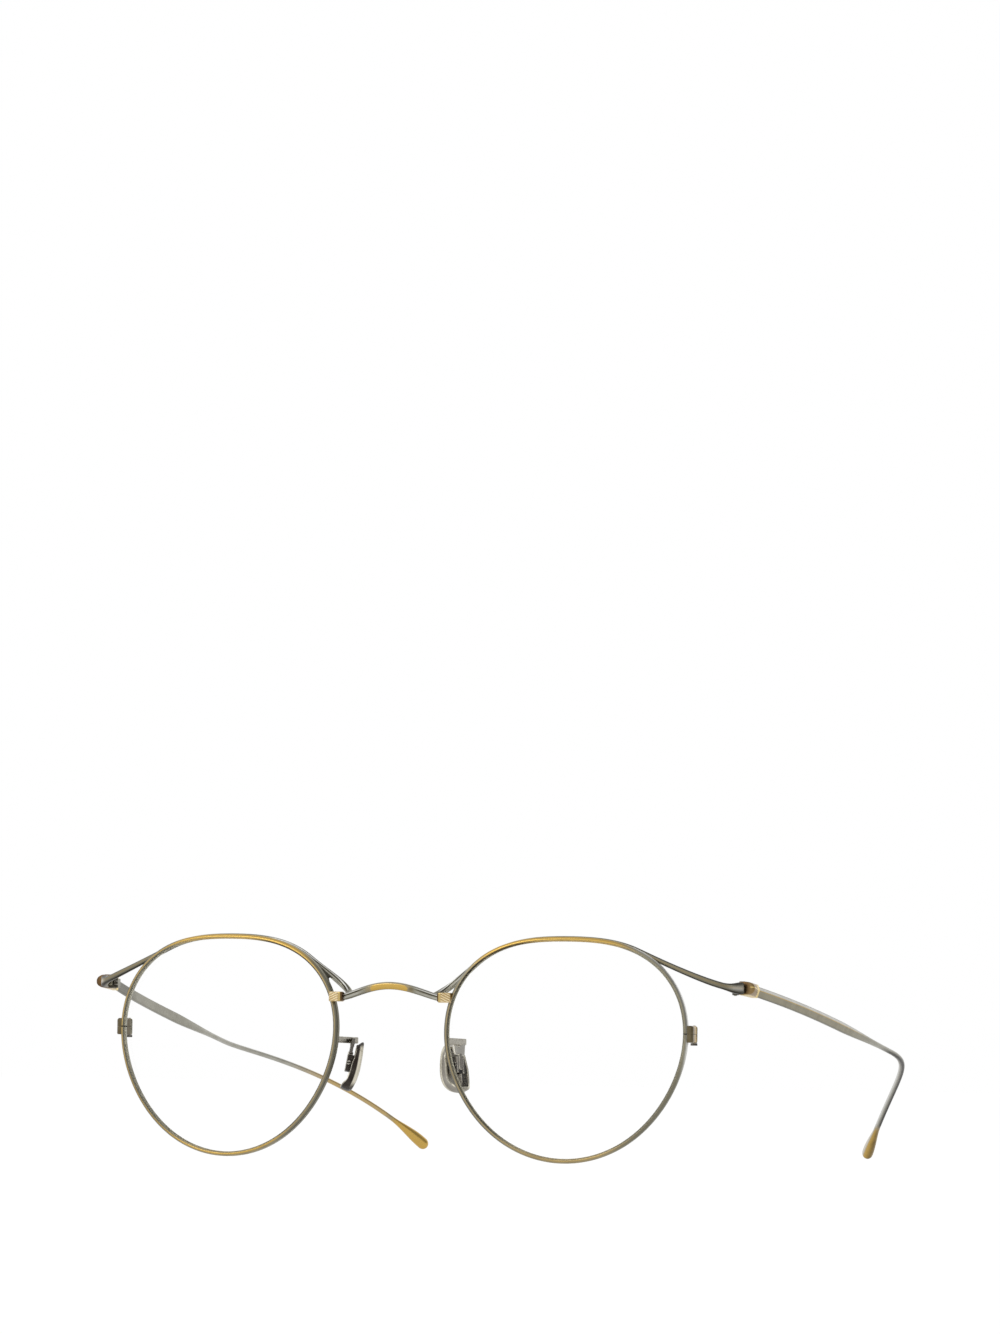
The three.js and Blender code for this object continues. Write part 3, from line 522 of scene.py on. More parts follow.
def arc(radius, start, stop, steps, at=(0, 0)):
    turn = np.radians(np.linspace(start, stop, steps))
    return np.stack([at[0] + radius * np.cos(turn), at[1] + radius * np.sin(turn)], -1)


def turned(shape, sides=40, hollow_and_shade=0.0):
    turn = np.linspace(0, 2 * math.pi, sides, endpoint=False)
    rings = [np.stack([r * np.cos(turn), r * np.sin(turn), np.full(sides, z)], -1) for r, z in shape]
    return skin(np.stack(rings), 0.0, np.reshape(hollow_and_shade, (-1, 1)))


SLOT_FLOOR, SLOT_HALF, HEAD_CLEAR = 0.45, 0.24, 0.02


def screw(shank, end, seat, head, height, painted_shade=0.0):
    """A pin along z with a slotted head; the slot is given in shares of the head's height and radius."""
    r, floor = head / 2, seat + height * SLOT_FLOOR
    dome = shank / 4
    body = turned([(shank / 2 - dome, end), (shank / 2 - dome * 0.3, end + dome * 0.3),
                   (shank / 2, end + dome), (shank / 2, seat), (r - 0.05, seat), (r, seat + 0.05),
                   (r, floor)], hollow_and_shade=[0, 0, 0, 0, 0.5, 0.2, 0.8])
    lean = math.degrees(math.asin(SLOT_HALF))
    # The last argument puts painted shade on the head's two halves.
    halves = [slab(arc(r, turn + lean, turn + 180 - lean, 20), floor - 0.02, seat + height, 0.06, hollow_and_shade=painted_shade)
              for turn in (0, 180)]
    return body + halves[0] + halves[1]


print("a sample screw has", len(screw(0.6, -2, 1.6, 1.15, 0.3).points), "points")

# %% Lugs and their screws
CLOSER_HEIGHT, CLOSER_THICKNESS, CLOSER_OUT = 3.2, 1.3, 0.8
CLOSER_FRONT, CLOSER_BACK = -0.4, 3.6
CLOSER_SCREW, CLOSER_HEAD, CLOSER_HEAD_HEIGHT, CLOSER_TIP = 0.6, 1.3, 0.5, 0.12
split_at = rim_point(SPLIT_ANGLE, 0, 0)
near, far = CLOSER_OUT - CLOSER_THICKNESS / 2, CLOSER_OUT + CLOSER_THICKNESS / 2
closer_top = CLOSER_HEIGHT / 2
barrel = arc(CLOSER_THICKNESS / 2, -35, 215, 25, (CLOSER_OUT, CLOSER_BACK))
lug = np.concatenate([[(near, CLOSER_FRONT), (far - 0.4, CLOSER_FRONT), (far, CLOSER_FRONT + 0.4),
                       (far - 0.08, CLOSER_BACK - 0.8)], barrel, [(near + 0.08, CLOSER_BACK - 0.8)]])
tan = np.array([0.35] * 3 + [0.8] * 2 + [0.3] + [0.0] * 23 + [0.35])
brown = np.array([0.6] * 3 + [0.1] * 3 + [0.2] * 23 + [0.6])
sawn = most(np.array([[1, 1, 0.6, 0, 0, 0, 0, 0]]).T, brown)
upper = slab(lug, SPLIT_GAP / 2, closer_top, (0.05, 0.45), 0.3, sawn, tan).placed(EYE_TURN, split_at)
lower = slab(lug, -closer_top, -SPLIT_GAP / 2, (0.25, 0.05), 0.3, sawn[::-1], tan).placed(EYE_TURN, split_at)
pair("closer_upper_{}", upper, aged_gold, "front", "aged_gold", "closing_block_upper_{}")
pair("closer_lower_{}", lower, aged_gold, "front", "aged_gold", "closing_block_lower_{}")
# The closing screw stands head down, and its head gets painted shade.
closer = screw(CLOSER_SCREW, -closer_top - CLOSER_TIP, closer_top + HEAD_CLEAR,
               CLOSER_HEAD, CLOSER_HEAD_HEIGHT, 0.7)
upside_down = np.array(Matrix.Rotation(math.pi, 3, "X"))
closer = closer.placed(upside_down, (CLOSER_OUT, CLOSER_BACK, 0)).placed(EYE_TURN, split_at)
pair("closer_screw_{}", closer, satin_steel, "front", "steel", "closing_screw_{}")

# %% [markdown]
# ## Bridge
# The bridge is a low arch of swaged wire. Its front is wiped to gold in a leaf shape at the middle,
# and two grooves run in from each end, where the dark plating stayed. The grooves are cut in the
# geometry by drawing the section in, and fade towards the middle. Painted shade darkens the underside,
# and painted highlights lighten the top and the strips beside the grooves.

# %% A grooved arch
BRIDGE_ANGLE = math.radians(158.7)
BRIDGE_ARCH, BRIDGE_FORWARD, BRIDGE_BACK, BRIDGE_FULLNESS = 2.2, 1.1, -0.2, 1.2
BRIDGE_HEIGHT, BRIDGE_DEPTH, BRIDGE_END_HEIGHT = 1.45, 1.3, 1.3
COLLAR_LENGTH = 2.7
bridge_rim = rim_point(BRIDGE_ANGLE, 0, 0)
half_span = bridge_rim[0] - COLLAR_LENGTH


def arching(x):
    return np.maximum(0, np.cos(math.pi * x / (2 * half_span))) ** BRIDGE_FULLNESS


def bridge_point(x):
    rise = arching(x)
    return np.stack([x, BRIDGE_BACK - BRIDGE_FORWARD * rise, bridge_rim[2] + BRIDGE_ARCH * rise], -1)


stations = np.linspace(-half_span, half_span, 121)
heights = BRIDGE_END_HEIGHT + (BRIDGE_HEIGHT - BRIDGE_END_HEIGHT) * arching(stations)
plain = np.stack([profile(eight_sided(BRIDGE_DEPTH, h, BRIDGE_END_HEIGHT / 4), 0.16, 4, 4) for h in heights])
ends = ease(np.abs(stations), 3.8, 6.8)[:, None]
dent = most(facing(plain, 12, 9), facing(plain, 58, 9)) * ends
sections = plain * (1 - 0.18 * dent)[..., None]
slant = np.abs(stations)[:, None] + 1.6 * np.maximum(plain[..., 1], 0)
leaf = (1 - ease(slant, 3.5, 4.1)) * ease(plain[..., 0], 0.2, 0.4) * (1 - ease(plain[..., 1], 0.3, 0.45))
warm = 0.3 * (1 - ease(slant, 4.4, 5.6)) * ease(plain[..., 0], 0.2, 0.4)
tail = 0.5 * span(stations, 3.9, 5.0, 0.4)[:, None] * facing(plain, 0, 35)
# Dark plating in the grooves, a darker band across the front near each end, and painted shade on the underside.
plating_and_shade = most(dent, tail, 0.6 * facing(plain, -80, 25))
# Painted highlights on the top face, and near the ends on the strip between the grooves and low on the front.
pale_and_highlight = most(0.7 * facing(plain, 75, 22), 0.9 * ends * facing(plain, 35, 10),
            0.5 * ends * facing(plain, -25, 18))
arch = skin(carry(bridge_point(stations), sections), most(leaf, warm), plating_and_shade, pale_and_highlight)
piece("bridge_arch", arch, aged_gold, "front", "aged_gold", "bridge")
print("bridge arch,", round(2 * half_span, 2), "mm between the collars")

# %% [markdown]
# ## Reeded collars
# A gold collar ties the bridge to each rim. It is a swaged block with slanting reeds on its face, a
# plain band next to the bridge, and a dark neck where the solder was wiped off.

# %% Collars with slanting reeds
COLLAR_HEIGHT, COLLAR_DEPTH, COLLAR_BACK = 1.9, 1.9, -0.65
REEDS, REED_DEPTH, REED_SLANT = 4, 0.14, 0.45
NECK, BAND, SEAM = 0.22, 0.75, 0.04
x, y = COLLAR_DEPTH / 2, COLLAR_HEIGHT / 2
block = profile([(x, -y), (x, y), (-x, y), (-x, -y)], 0.22, 4, 20)
along = np.linspace(0, COLLAR_LENGTH - SEAM, 61)[:, None]
front = ease(block[:, 0], 0.8, 0.94)
wave = 0.5 - 0.5 * np.cos(2 * math.pi * (block[:, 1] + REED_SLANT * along) * REEDS / COLLAR_HEIGHT)
reeded = front * ease(along, BAND, BAND + 0.1)
neck = 1 - ease(along, NECK, NECK + 0.08)
slim = 1 - 0.16 * neck - 0.05 * (1 - ease(along, 0, 0.05))
slim = slim - 0.06 * ease(along, COLLAR_LENGTH - 0.15, COLLAR_LENGTH)
sections = np.stack([block[:, 0] * slim - REED_DEPTH * reeded * (1 - wave), block[:, 1] * slim], -1)
aside = half_span + SEAM + along[:, 0]
spots = np.stack([aside, np.full_like(aside, COLLAR_BACK), np.full_like(aside, bridge_rim[2])], -1)
amber = ease(along, NECK, NECK + 0.1) * (1 - ease(along, BAND - 0.1, BAND))
plating_and_shade = most(0.25 * reeded * (1 - wave) ** 2, neck, 0.35 * amber)
collar = skin(carry(spots, sections), 0.5 * amber, plating_and_shade, 0.7 * reeded * wave)
pair("reeded_collar_{}", collar, bright_gold, "front", "bright_gold", "bridge_collar_{}")

# %% [markdown]
# ## Brow wires
# The brow wire is the line that makes this frame: it leaves the bridge, lies along the back of the
# rim's top, and sweeps out and back to the hinge, where it flares into a trumpet. On the nose side it
# carries two grooves. The path joins a Bezier, the rim's own curve and a second Bezier, and is then
# spaced evenly.

# %% The path of the brow wire
BROW_WIRE, BROW_LIFT, BROW_SEAT = 1.0, 0.13, 0.11
NASAL_ANGLE, TEMPLE_ANGLE = math.radians(137), math.radians(53)
NASAL_EASE, BRIDGE_EASE, BRIDGE_IN = 3.8, (2.2, 4.5, 1.8), 1.15
TEMPLE_EASE, HINGE_EASE = 16.7, 3.5
END_SPLAY, END_RISE = math.radians(14), math.radians(3)
HINGE_GAP, MOUTH_FORWARD = 0.5, 0.5
HINGE_AT = np.array([EYE_AT[0] + LENS_WIDTH / 2 + 8.05, 14.0, EYE_AT[2] + 11.45])
BEHIND = RIM_DEPTH / 2 + BROW_SEAT + BROW_WIRE / 2


def heading(outwards, downwards):
    level = math.cos(downwards)
    return np.array([math.sin(outwards) * level, math.cos(outwards) * level, -math.sin(downwards)])


def on_rim(angle):
    return rim_point(angle, BROW_LIFT, BEHIND)


def leaving(angle, step):
    return unit(on_rim(angle + step) - on_rim(angle))


start = bridge_point(half_span - BRIDGE_IN) + (0, 0.5, 0)
nasal, temporal = on_rim(NASAL_ANGLE), on_rim(TEMPLE_ANGLE)
brow_end = HINGE_AT - heading(END_SPLAY, -END_RISE) * (HINGE_GAP / 2 + MOUTH_FORWARD)
inner = bezier(start, start + BRIDGE_EASE, nasal + leaving(NASAL_ANGLE, 1e-3) * NASAL_EASE, nasal)
over = on_rim(np.linspace(NASAL_ANGLE, TEMPLE_ANGLE, 90)[1:-1])
outer = bezier(temporal, temporal + leaving(TEMPLE_ANGLE, -1e-3) * TEMPLE_EASE,
               brow_end - heading(END_SPLAY, -END_RISE) * HINGE_EASE, brow_end)
brow_path = np.concatenate([inner, over, outer])
brow_length = run(brow_path)[-1]
print("brow wire is", round(brow_length, 1), "mm long")

# %% Brow wires with grooves and a flared end
FLARE, FLARE_THICKNESS, FLARE_LENGTH = 2.3, 1.6, 5.0
stations = np.concatenate([np.linspace(0, brow_length - 9, 180),
                           np.linspace(brow_length - 9, brow_length - 0.3, 60)[1:],
                           brow_length - np.array([0.2, 0.12, 0.05, 0])])
path = respaced(brow_path, stations)
to_end = brow_length - stations
flare = 0.8 * (1 - ease(to_end, 0, FLARE_LENGTH)) + 0.2 * (1 - ease(to_end, 3, 18))
chamfer = BROW_WIRE * (1 - math.sqrt(0.5))
plain = np.stack([profile(eight_sided(BROW_WIRE + (FLARE_THICKNESS - BROW_WIRE) * f,
                                      BROW_WIRE + (FLARE - BROW_WIRE) * f, chamfer), 0.2 - 0.1 * f, 4, 4)
                  for f in flare])
mouth = 1 - 0.1 * ease(stations, brow_length - 0.25, brow_length) ** 2
stout = 1 + 0.35 * (1 - ease(stations, 4, 13))
plain = plain * (mouth * stout)[:, None, None]
nose_part = (ease(stations, 0.5, 2) * (1 - ease(stations, 18, 25)))[:, None]
temple_part = ease(stations, 38, 46)[:, None]
dent = most(facing(plain, 26, 12), facing(plain, 80, 12)) * nose_part
sections = plain * (1 - 0.2 * dent)[..., None]
# Painted shade on the temple part: its upper and lower facets, the mouth at the hinge end, and lightly all over
# except the flat outer face near the end. The nose-side grooves keep their dark plating.
shaded_edges = temple_part * most(0.95 * facing(plain, 72, 36), 0.9 * facing(plain, -64, 38))
mouth_shade = ease(stations, brow_length - 0.4, brow_length - 0.15)[:, None]
lit_facet = ease(stations, brow_length - 5, brow_length - 2)[:, None] * facing(plain, -5, 40)
plating_and_shade = most(dent, shaded_edges, mouth_shade, 0.3 * temple_part * (1 - lit_facet))
# Painted highlights: the strips beside the grooves, a strip high on the temple part, and the flat outer face
# near the end.
pale_and_highlight = most(nose_part * most(facing(plain, 53, 15), 0.6 * facing(plain, -15, 16)),
            0.2 * temple_part * facing(plain, 45, 16), 0.7 * lit_facet)
tan = 0.35 * temple_part * most(facing(plain, 5, 22), facing(plain, 180, 45))
brow = skin(carry(path, sections), tan, plating_and_shade, pale_and_highlight)
pair("brow_bar_{}", brow, aged_gold, "front", "aged_gold", "brow_wire_{}")

# %% [markdown]
# ## Solder fillets
# Where the brow wire and the rim part, hard solder fills the sharp corner with a small dark web. It is
# a thin sheet between the two mid lines, hollowed towards the corner as melted metal draws in.

# %% Webs between wire and rim
WEB_THICKNESS, NOSE_WEB, SIDE_WEB = 0.45, 7.2, 4.4


def web(rim_line, wire_line, reach):
    """A closed web from a corner, `reach` long on both lines and drawn in between them."""
    across = np.linspace(0, 1, 13)
    draw = 1 - 0.3 * np.sin(math.pi * across)
    sheet = []
    for share in np.linspace(0.05, 1, 9):
        far = reach * share * draw
        low, high = respaced(rim_line, far), respaced(wire_line, far)
        sheet.append(low + (high - low) * across[:, None])
    sheet = np.stack(sheet)
    thick = np.array([0, WEB_THICKNESS / 2, 0])
    edge = sheet[-1] + (sheet[-1] - sheet[-2]) * 0.3
    rings = [np.concatenate([row - thick, (row + thick)[::-1]]) for row in sheet]
    rings.append(np.concatenate([edge - thick * 0.4, (edge + thick * 0.4)[::-1]]))
    return skin(np.stack(rings), 0.0, 0.6)


nose_rim = rim_point(np.linspace(NASAL_ANGLE, NASAL_ANGLE + 0.4, 40), 0.1, 0.5)
pair("nose_fillet_{}", web(nose_rim, inner[::-1], NOSE_WEB), aged_gold, "front", "aged_gold")
side_rim = rim_point(np.linspace(TEMPLE_ANGLE, TEMPLE_ANGLE - 0.4, 40), 0.1, 0.5)
pair("side_fillet_{}", web(side_rim, outer, SIDE_WEB), aged_gold, "front", "aged_gold")

# %% [markdown]
# ## Hinges
# Behind the flared end sits a three-knuckle hinge: two knuckles on the front, one on the temple, and a
# screw as the pin. Each half is a plate with a tear-shaped lug that runs out into its knuckle, as a
# milled hinge has, and the plates keep clear of the knuckles that turn past them.

# %% Hinge plates and knuckles
HINGE_SPLAY, HINGE_SLOPE = math.radians(8), math.radians(5)
HINGE_INSET, HINGE_DROP = 1.65, 0.35
KNUCKLE, KNUCKLE_HEIGHT, PLAY, HINGE_LEAF = 1.4, 0.6, 0.1, 0.8
SLEEVE_LENGTH, SLEEVE_HEIGHT, SLEEVE_THICKNESS = 5.4, 2.6, 1.75
FRONT_PLATE, FRONT_FOOT, REAR_PLATE, REAR_HALF, LUG_EDGE = (-1.6, -0.9), -0.5, (0.9, 4.2), 0.9, 1.1
HINGE_PIN, PIN_TIP, PIN_HEAD, PIN_HEAD_HEIGHT = 0.75, 0.15, 1.2, 0.27
HINGE_TURN = np.array(Matrix.Rotation(-HINGE_SPLAY, 3, "Z"))
to_pin = HINGE_INSET * np.array([-math.cos(HINGE_SPLAY), math.sin(HINGE_SPLAY), 0])
PIN_AT = HINGE_AT + to_pin - HINGE_DROP * UP
middle = KNUCKLE_HEIGHT / 2
stack = middle + PLAY + KNUCKLE_HEIGHT


def hinge_lug(low, high, plate_edge, inner_x, outer_x):
    """A knuckle whose flanks run out to the plate's edge."""
    front = plate_edge < 0
    cap = arc(KNUCKLE / 2, 0, 180, 21) if front else arc(KNUCKLE / 2, 180, 360, 21)
    foot = [(inner_x, plate_edge), (outer_x, plate_edge)]
    return slab(np.concatenate([cap, foot if front else foot[::-1]]), low, high, 0.1, 0.2, 0.75)


def plate(x0, x1, y0, y1, z0, z1):
    return slab(profile([(x0, y0), (x1, y0), (x1, y1), (x0, y1)], 0.16, 3, 2), z0, z1, 0.1, 0.3, 0.15)


inner_x = HINGE_INSET - FLARE_THICKNESS / 2 - HINGE_LEAF
endpiece = plate(inner_x, inner_x + HINGE_LEAF, *FRONT_PLATE, FRONT_FOOT, stack)
for low, high in ((middle + PLAY, stack), (-stack, -middle - PLAY)):
    endpiece = endpiece + hinge_lug(low, high, -LUG_EDGE, inner_x, inner_x + HINGE_LEAF)
pair("hinge_front_{}", endpiece.placed(HINGE_TURN, PIN_AT), aged_gold, "front", "aged_gold", "endpiece_{}")
inner_x = HINGE_INSET - SLEEVE_THICKNESS / 2 - SEAM - HINGE_LEAF
leaf = plate(inner_x, inner_x + HINGE_LEAF, *REAR_PLATE, -REAR_HALF, REAR_HALF)
leaf = leaf + hinge_lug(-middle, middle, LUG_EDGE, inner_x, inner_x + HINGE_LEAF)
pair("hinge_rear_{}", leaf.placed(HINGE_TURN, PIN_AT), aged_gold, "{}_temple", "aged_gold", "hinge_leaf_{}")
pin = screw(HINGE_PIN, -stack - PIN_TIP, stack + HEAD_CLEAR, PIN_HEAD, PIN_HEAD_HEIGHT)
pair("hinge_pin_{}", pin.placed(HINGE_TURN, PIN_AT), satin_steel, "front", "steel", "hinge_screw_{}")

# %% [markdown]
# ## Temples
# A temple starts as a flat bar with a ridge along its outer face, thins to a round wire behind the
# ear, and swells to a drop at its tip. One loft does it all: each ring is a mix of the ridged section
# and an oval, point for point, so that the ridge melts away into the wire.

# %% The temple's line
BAR_SPLAY, BAR_SLOPE = math.radians(10.9), math.radians(7.9)
EAR_FROM_HINGE, EAR_SPLAY, EAR_SLOPE = (6.8, 76.5, -11.3), math.radians(2.3), math.radians(8.9)
TIP_IN, TIP_BACK, TIP_TURN, TIP_SLOPE = 16.1, 137, math.radians(30), math.radians(34.7)
EAR_EASE, TIP_EASE = 16.2, 30.2
hinge_way = heading(HINGE_SPLAY, HINGE_SLOPE)


def temple_line(tip_height):
    start, sleeve = HINGE_AT + hinge_way * HINGE_GAP / 2, HINGE_AT + hinge_way * SLEEVE_LENGTH
    ear = HINGE_AT + EAR_FROM_HINGE
    tip = np.array([HINGE_AT[0] - TIP_IN, HINGE_AT[1] + TIP_BACK, tip_height])
    shaft = np.linalg.norm(ear - sleeve) / 3
    over_ear = heading(EAR_SPLAY, EAR_SLOPE)
    bar = bezier(sleeve, sleeve + heading(BAR_SPLAY, BAR_SLOPE) * shaft, ear - over_ear * shaft, ear, 150)
    hook = bezier(ear, ear + over_ear * EAR_EASE, tip - heading(-TIP_TURN, TIP_SLOPE) * TIP_EASE, tip, 150)
    return np.concatenate([np.linspace(start, sleeve, 12)[:-1], bar[:-1], hook])


print("temple line is", round(run(temple_line(1.2))[-1], 1), "mm long")

# %% Temples with a ridge and a drop-shaped tip
BAR_HEIGHT, BAR_THICKNESS, BAR_RIDGE, BAR_ROOF, BAR_EDGE = 2.0, 1.15, 0.22, 0.5, 0.14
TAPER_START, TAPER_END, WIRE_HEIGHT, WIRE_THICKNESS = 46, 74, 0.95, 1.22
TIP_LENGTH, TIP_HEIGHT, TIP_THICKNESS, TIP_ROUND, TIP_FULL = 12, 2.55, 2.3, 1.4, 2.2
TABLE_CLEAR = 0.01
inside, outside, top = -BAR_THICKNESS / 2, BAR_THICKNESS / 2, BAR_HEIGHT / 2
bar = profile([(outside, BAR_RIDGE), (outside - BAR_ROOF, top), (inside + BAR_EDGE, top),
               (inside, top - BAR_EDGE), (inside, BAR_EDGE - top), (inside + BAR_EDGE, -top),
               (outside - BAR_ROOF, -top)], 0.08, 3, 7)
round_turn = np.arctan2(bar[:, 1] / top, bar[:, 0] / outside)
oval = np.stack([np.cos(round_turn), np.sin(round_turn)], -1) / 2
wire_girth, tip_girth = np.array([[WIRE_THICKNESS, WIRE_HEIGHT], [TIP_THICKNESS, TIP_HEIGHT]])


def temple(tip_height, warm):
    """A temple whose wire is rubbed warm to tan, or else gets painted highlights below and painted shade on its
    outer side.
    """
    line = temple_line(tip_height)
    length = run(line)[-1]
    curl = length - TIP_ROUND * (1 - np.sin(np.radians(np.linspace(6, 74, 12))))
    stations = np.concatenate([np.linspace(0, length - TIP_ROUND, 230), curl])
    wired = ease(stations, TAPER_START, TAPER_END)[:, None, None]
    swell = ease(stations, length - TIP_LENGTH, length - TIP_FULL)[:, None]
    over = np.clip((stations - length + TIP_ROUND) / TIP_ROUND, 0, 1)
    closing = np.sqrt(1 - over**2)[:, None]
    girth = wire_girth + swell * (tip_girth - wire_girth)
    sections = bar * (1 - wired) + (oval * (girth * closing)[:, None]) * wired
    barred = 1 - wired[..., 0]
    outer = ease(bar[:, 0], outside - BAR_ROOF - 0.05, outside - BAR_ROOF + 0.1)
    ridge = barred * outer * np.exp(-(((bar[:, 1] - BAR_RIDGE) / 0.06) ** 2))
    tip = ease(stations, length - 15, length - 9)[:, None]
    lower = barred * outer * (1 - ease(bar[:, 1], BAR_RIDGE - 0.15, BAR_RIDGE))
    hook = ease(stations, 66, 80)[:, None] * (1 - tip)
    tan = 0.6 * ease(stations, 96, 118)[:, None] * (1 - tip) * warm
    # The glint is a painted highlight along one edge of the tip.
    glint = (1 - warm) * facing(oval, -174, 26)
    gilt = most(ridge, 0.95 * tip * (1 - 0.9 * glint), 0.15 * lower, tan)
    low_side = facing(oval, -170, 50) * (1 - warm)
    # Painted highlights: the bar's upper outer facet, the whole wire, the hook's lower side and the tip's
    # glint.
    pale_and_highlight = most(0.6 * barred * outer * ease(bar[:, 1], BAR_RIDGE, BAR_RIDGE + 0.15),
                0.35 * (1 - 0.7 * barred) * (1 - tip), hook * low_side, tip * glint)
    # Painted shade: the bar's top and bottom faces, its inner face, most near the hinge, and the outer lower
    # side of the hook and tip.
    edges = barred * (np.abs(bar[:, 1]) > top - 0.1) * np.where(bar[:, 1] > 0, 0.6, 0.35)
    tucked = (0.15 * barred + 0.35 * (1 - ease(stations, 14, 24))[:, None]) * (1 - outer)
    shade = most(hook * facing(oval, -60, 48), tip * facing(oval, -70, 65)) * (1 - 0.8 * warm)
    dark = most(edges, tucked, (0.95 - 0.35 * tip) * shade)
    return skin(carry(respaced(line, stations), sections), gilt, dark, pale_and_highlight)


tip_height = TIP_HEIGHT / 2
for settling in range(4):
    tip_height -= temple(tip_height, 0.0).points[:, 2].min() - TABLE_CLEAR
temples = temple(tip_height, 0.0), temple(tip_height, 1.0)
pair("temple_bar_{}", temples, aged_gold, "{}_temple", "aged_gold", "temple_{}")

# %% [markdown]
# ## Temple collars
# A gold sleeve closes over the front end of each temple and swells outwards at its mouth to meet the
# flare. A plain box would do for the rest, but the swelling is what shows from the front, so each ring
# is pushed out by a dome. The ridge and the rear end are polished brightest. The body is dulled, more
# towards the mouth, and painted shade darkens the top, the mouth's edge and the mouth, more of it on
# the right.

# %% Gold sleeves
SHOULDER, SHOULDER_ROUND, SLEEVE_LAP, SLEEVE_EDGE = 1.5, 0.9, 0.3, 0.12
side_x, sleeve_top = SLEEVE_THICKNESS / 2, SLEEVE_HEIGHT / 2
sleeve = profile([(side_x, BAR_RIDGE), (side_x - BAR_ROOF, sleeve_top), (-side_x, sleeve_top),
                  (-side_x, -sleeve_top), (side_x - BAR_ROOF, -sleeve_top)], 0.14, 4, 6)
ends = np.array([0, 0.03, 0.08, 0.16, 0.25, 0.36, 0.5])
reach = SLEEVE_LENGTH - HINGE_GAP / 2 + MOUTH_FORWARD + SLEEVE_LAP
stations = np.concatenate([ends, np.linspace(0.65, reach - 0.65, 24), reach - ends[::-1]])
shrink = 0.16 * np.maximum(0, 1 - np.minimum(stations, reach - stations) / 0.16) ** 2
rounding = np.sqrt(1 - np.clip(1 - stations / SHOULDER_ROUND, 0, 1) ** 2)
fade = (1 - stations / reach)[:, None]
flank = side_x - BAR_ROOF
arched = np.sqrt(1 - np.abs(sleeve[:, 1] / sleeve_top) ** 2.4)
dome = flank + (BAR_ROOF + SHOULDER * fade * rounding[:, None]) * arched
sections = sleeve * (1 - shrink)[:, None, None]
sections[..., 0] += (dome - sleeve[:, 0]) * (sleeve[:, 0] >= flank) * np.minimum(2 * fade, 1)
path = HINGE_AT + hinge_way * (HINGE_GAP / 2 - MOUTH_FORWARD + stations[:, None])
ridge = np.exp(-(((sleeve[:, 1] - BAR_RIDGE) / 0.08) ** 2)) * (sleeve[:, 0] > 0.5)
mouth_edge = 1 - ease(stations, 0.05, 0.2)[:, None]
end_band = ease(stations, reach - 1.6, reach - 1.2)[:, None]
underside, upper_side = sleeve[:, 1] < SLEEVE_EDGE - sleeve_top, sleeve[:, 1] > sleeve_top - SLEEVE_EDGE
at_mouth = 1 - ease(stations, 1.2, 2.4)[:, None]


def band(painted_shade):
    """A sleeve whose shine fades under painted shade at its mouth."""
    shine = most(ridge, 0.8 * end_band, 0.6 * underside) * (1 - 0.7 * painted_shade * at_mouth)
    # Painted shade on the top face, the mouth's edge and, as much as the argument asks, over the mouth; the
    # rest is dulled more towards the mouth.
    dull_and_shade = most((0.4 + 0.2 * fade) * (1 - shine), 0.8 * mouth_edge, 0.5 * upper_side, 0.85 * painted_shade * at_mouth)
    return skin(carry(path, sections), shine, dull_and_shade)


pair("temple_sleeve_{}", (band(0.0), band(1.0)), bright_gold, "{}_temple", "bright_gold", "temple_collar_{}")

# %% [markdown]
# ## Nose pads
# These pads are metal: a small tray with a raised border, bowed to the side of the nose. In the tray
# sits a clip with two cheeks, which holds the eye of the pad arm on a tiny screw and lets the pad rock.
# The pad is one stack of rings, from the middle of the nose side, over the edge, to the tray's floor.

# %% The pad's place and its bowed tray
PAD_SPLAY, PAD_FRONTAL, PAD_LEAN = math.radians(24), math.radians(10.5), math.radians(7)
PAD_AT = np.array([10.05, 7.4, EYE_AT[2] - 4.95])
PAD_HEIGHT, PAD_WIDTH, PAD_TAPER, PAD_SQUARE = 9.4, 6.3, 0.1, 2.8
BOW_ABOVE, BOW_BELOW, PAD_BULB = 0.1, 0.7, 0.6
PAD_UP, PAD_WALL, PAD_TOE, PAD_HEAD = 0.22, 0.4, 0.7, 0.75
leans = (PAD_SPLAY, "Z"), (PAD_FRONTAL, "Y"), (PAD_LEAN, "X")
turns = [Matrix.Rotation(-angle, 3, axis) for angle, axis in leans]
PAD_TURN = np.array(turns[0] @ turns[1] @ turns[2])
round_pad = np.linspace(0, 2 * math.pi, 96, endpoint=False)
across, upwards = (np.sign(v) * np.abs(v) ** (2 / PAD_SQUARE) for v in (np.cos(round_pad), np.sin(round_pad)))
nose_face = [(3.0, -0.75), (2.2, -0.75), (1.2, -0.73), (0.5, -0.68), (0.16, -0.6), (0.04, -0.5)]
wall = [(0, -0.36), (0, -0.1), (0, 0.05), (0, 0.12), (0, 0.4), (0, 0.6), (0.03, 0.69), (0.1, 0.75)]
border = [(0.2, 0.75), (0.32, 0.75), (0.42, 0.72), (0.48, 0.64)]
tray = [(0.5, 0.5), (0.52, 0.2), (0.55, -0.05), (0.65, -0.22),
        (0.85, -0.3), (1.3, -0.32), (2.2, -0.32), (3.0, -0.32)]
cream = np.array([0.2] * 4 + [0.8, 1, 1, 1, 0.6, 0, 0, 0, 0.5, 1] + [1, 1, 0.8, 0.4] + [0] * 8)[:, None]
# Painted shade per ring: on the outer wall's upper band and over the tray, whose recess lies in shadow.
recess_shade = np.array([0] * 8 + [0.5, 0.9, 0.9, 0.9, 0.5, 0] + [0, 0, 0.2, 0.6]
                 + [0.9, 0.95, 0.95, 0.9, 0.7, 0.5, 0.4, 0.4])[:, None]


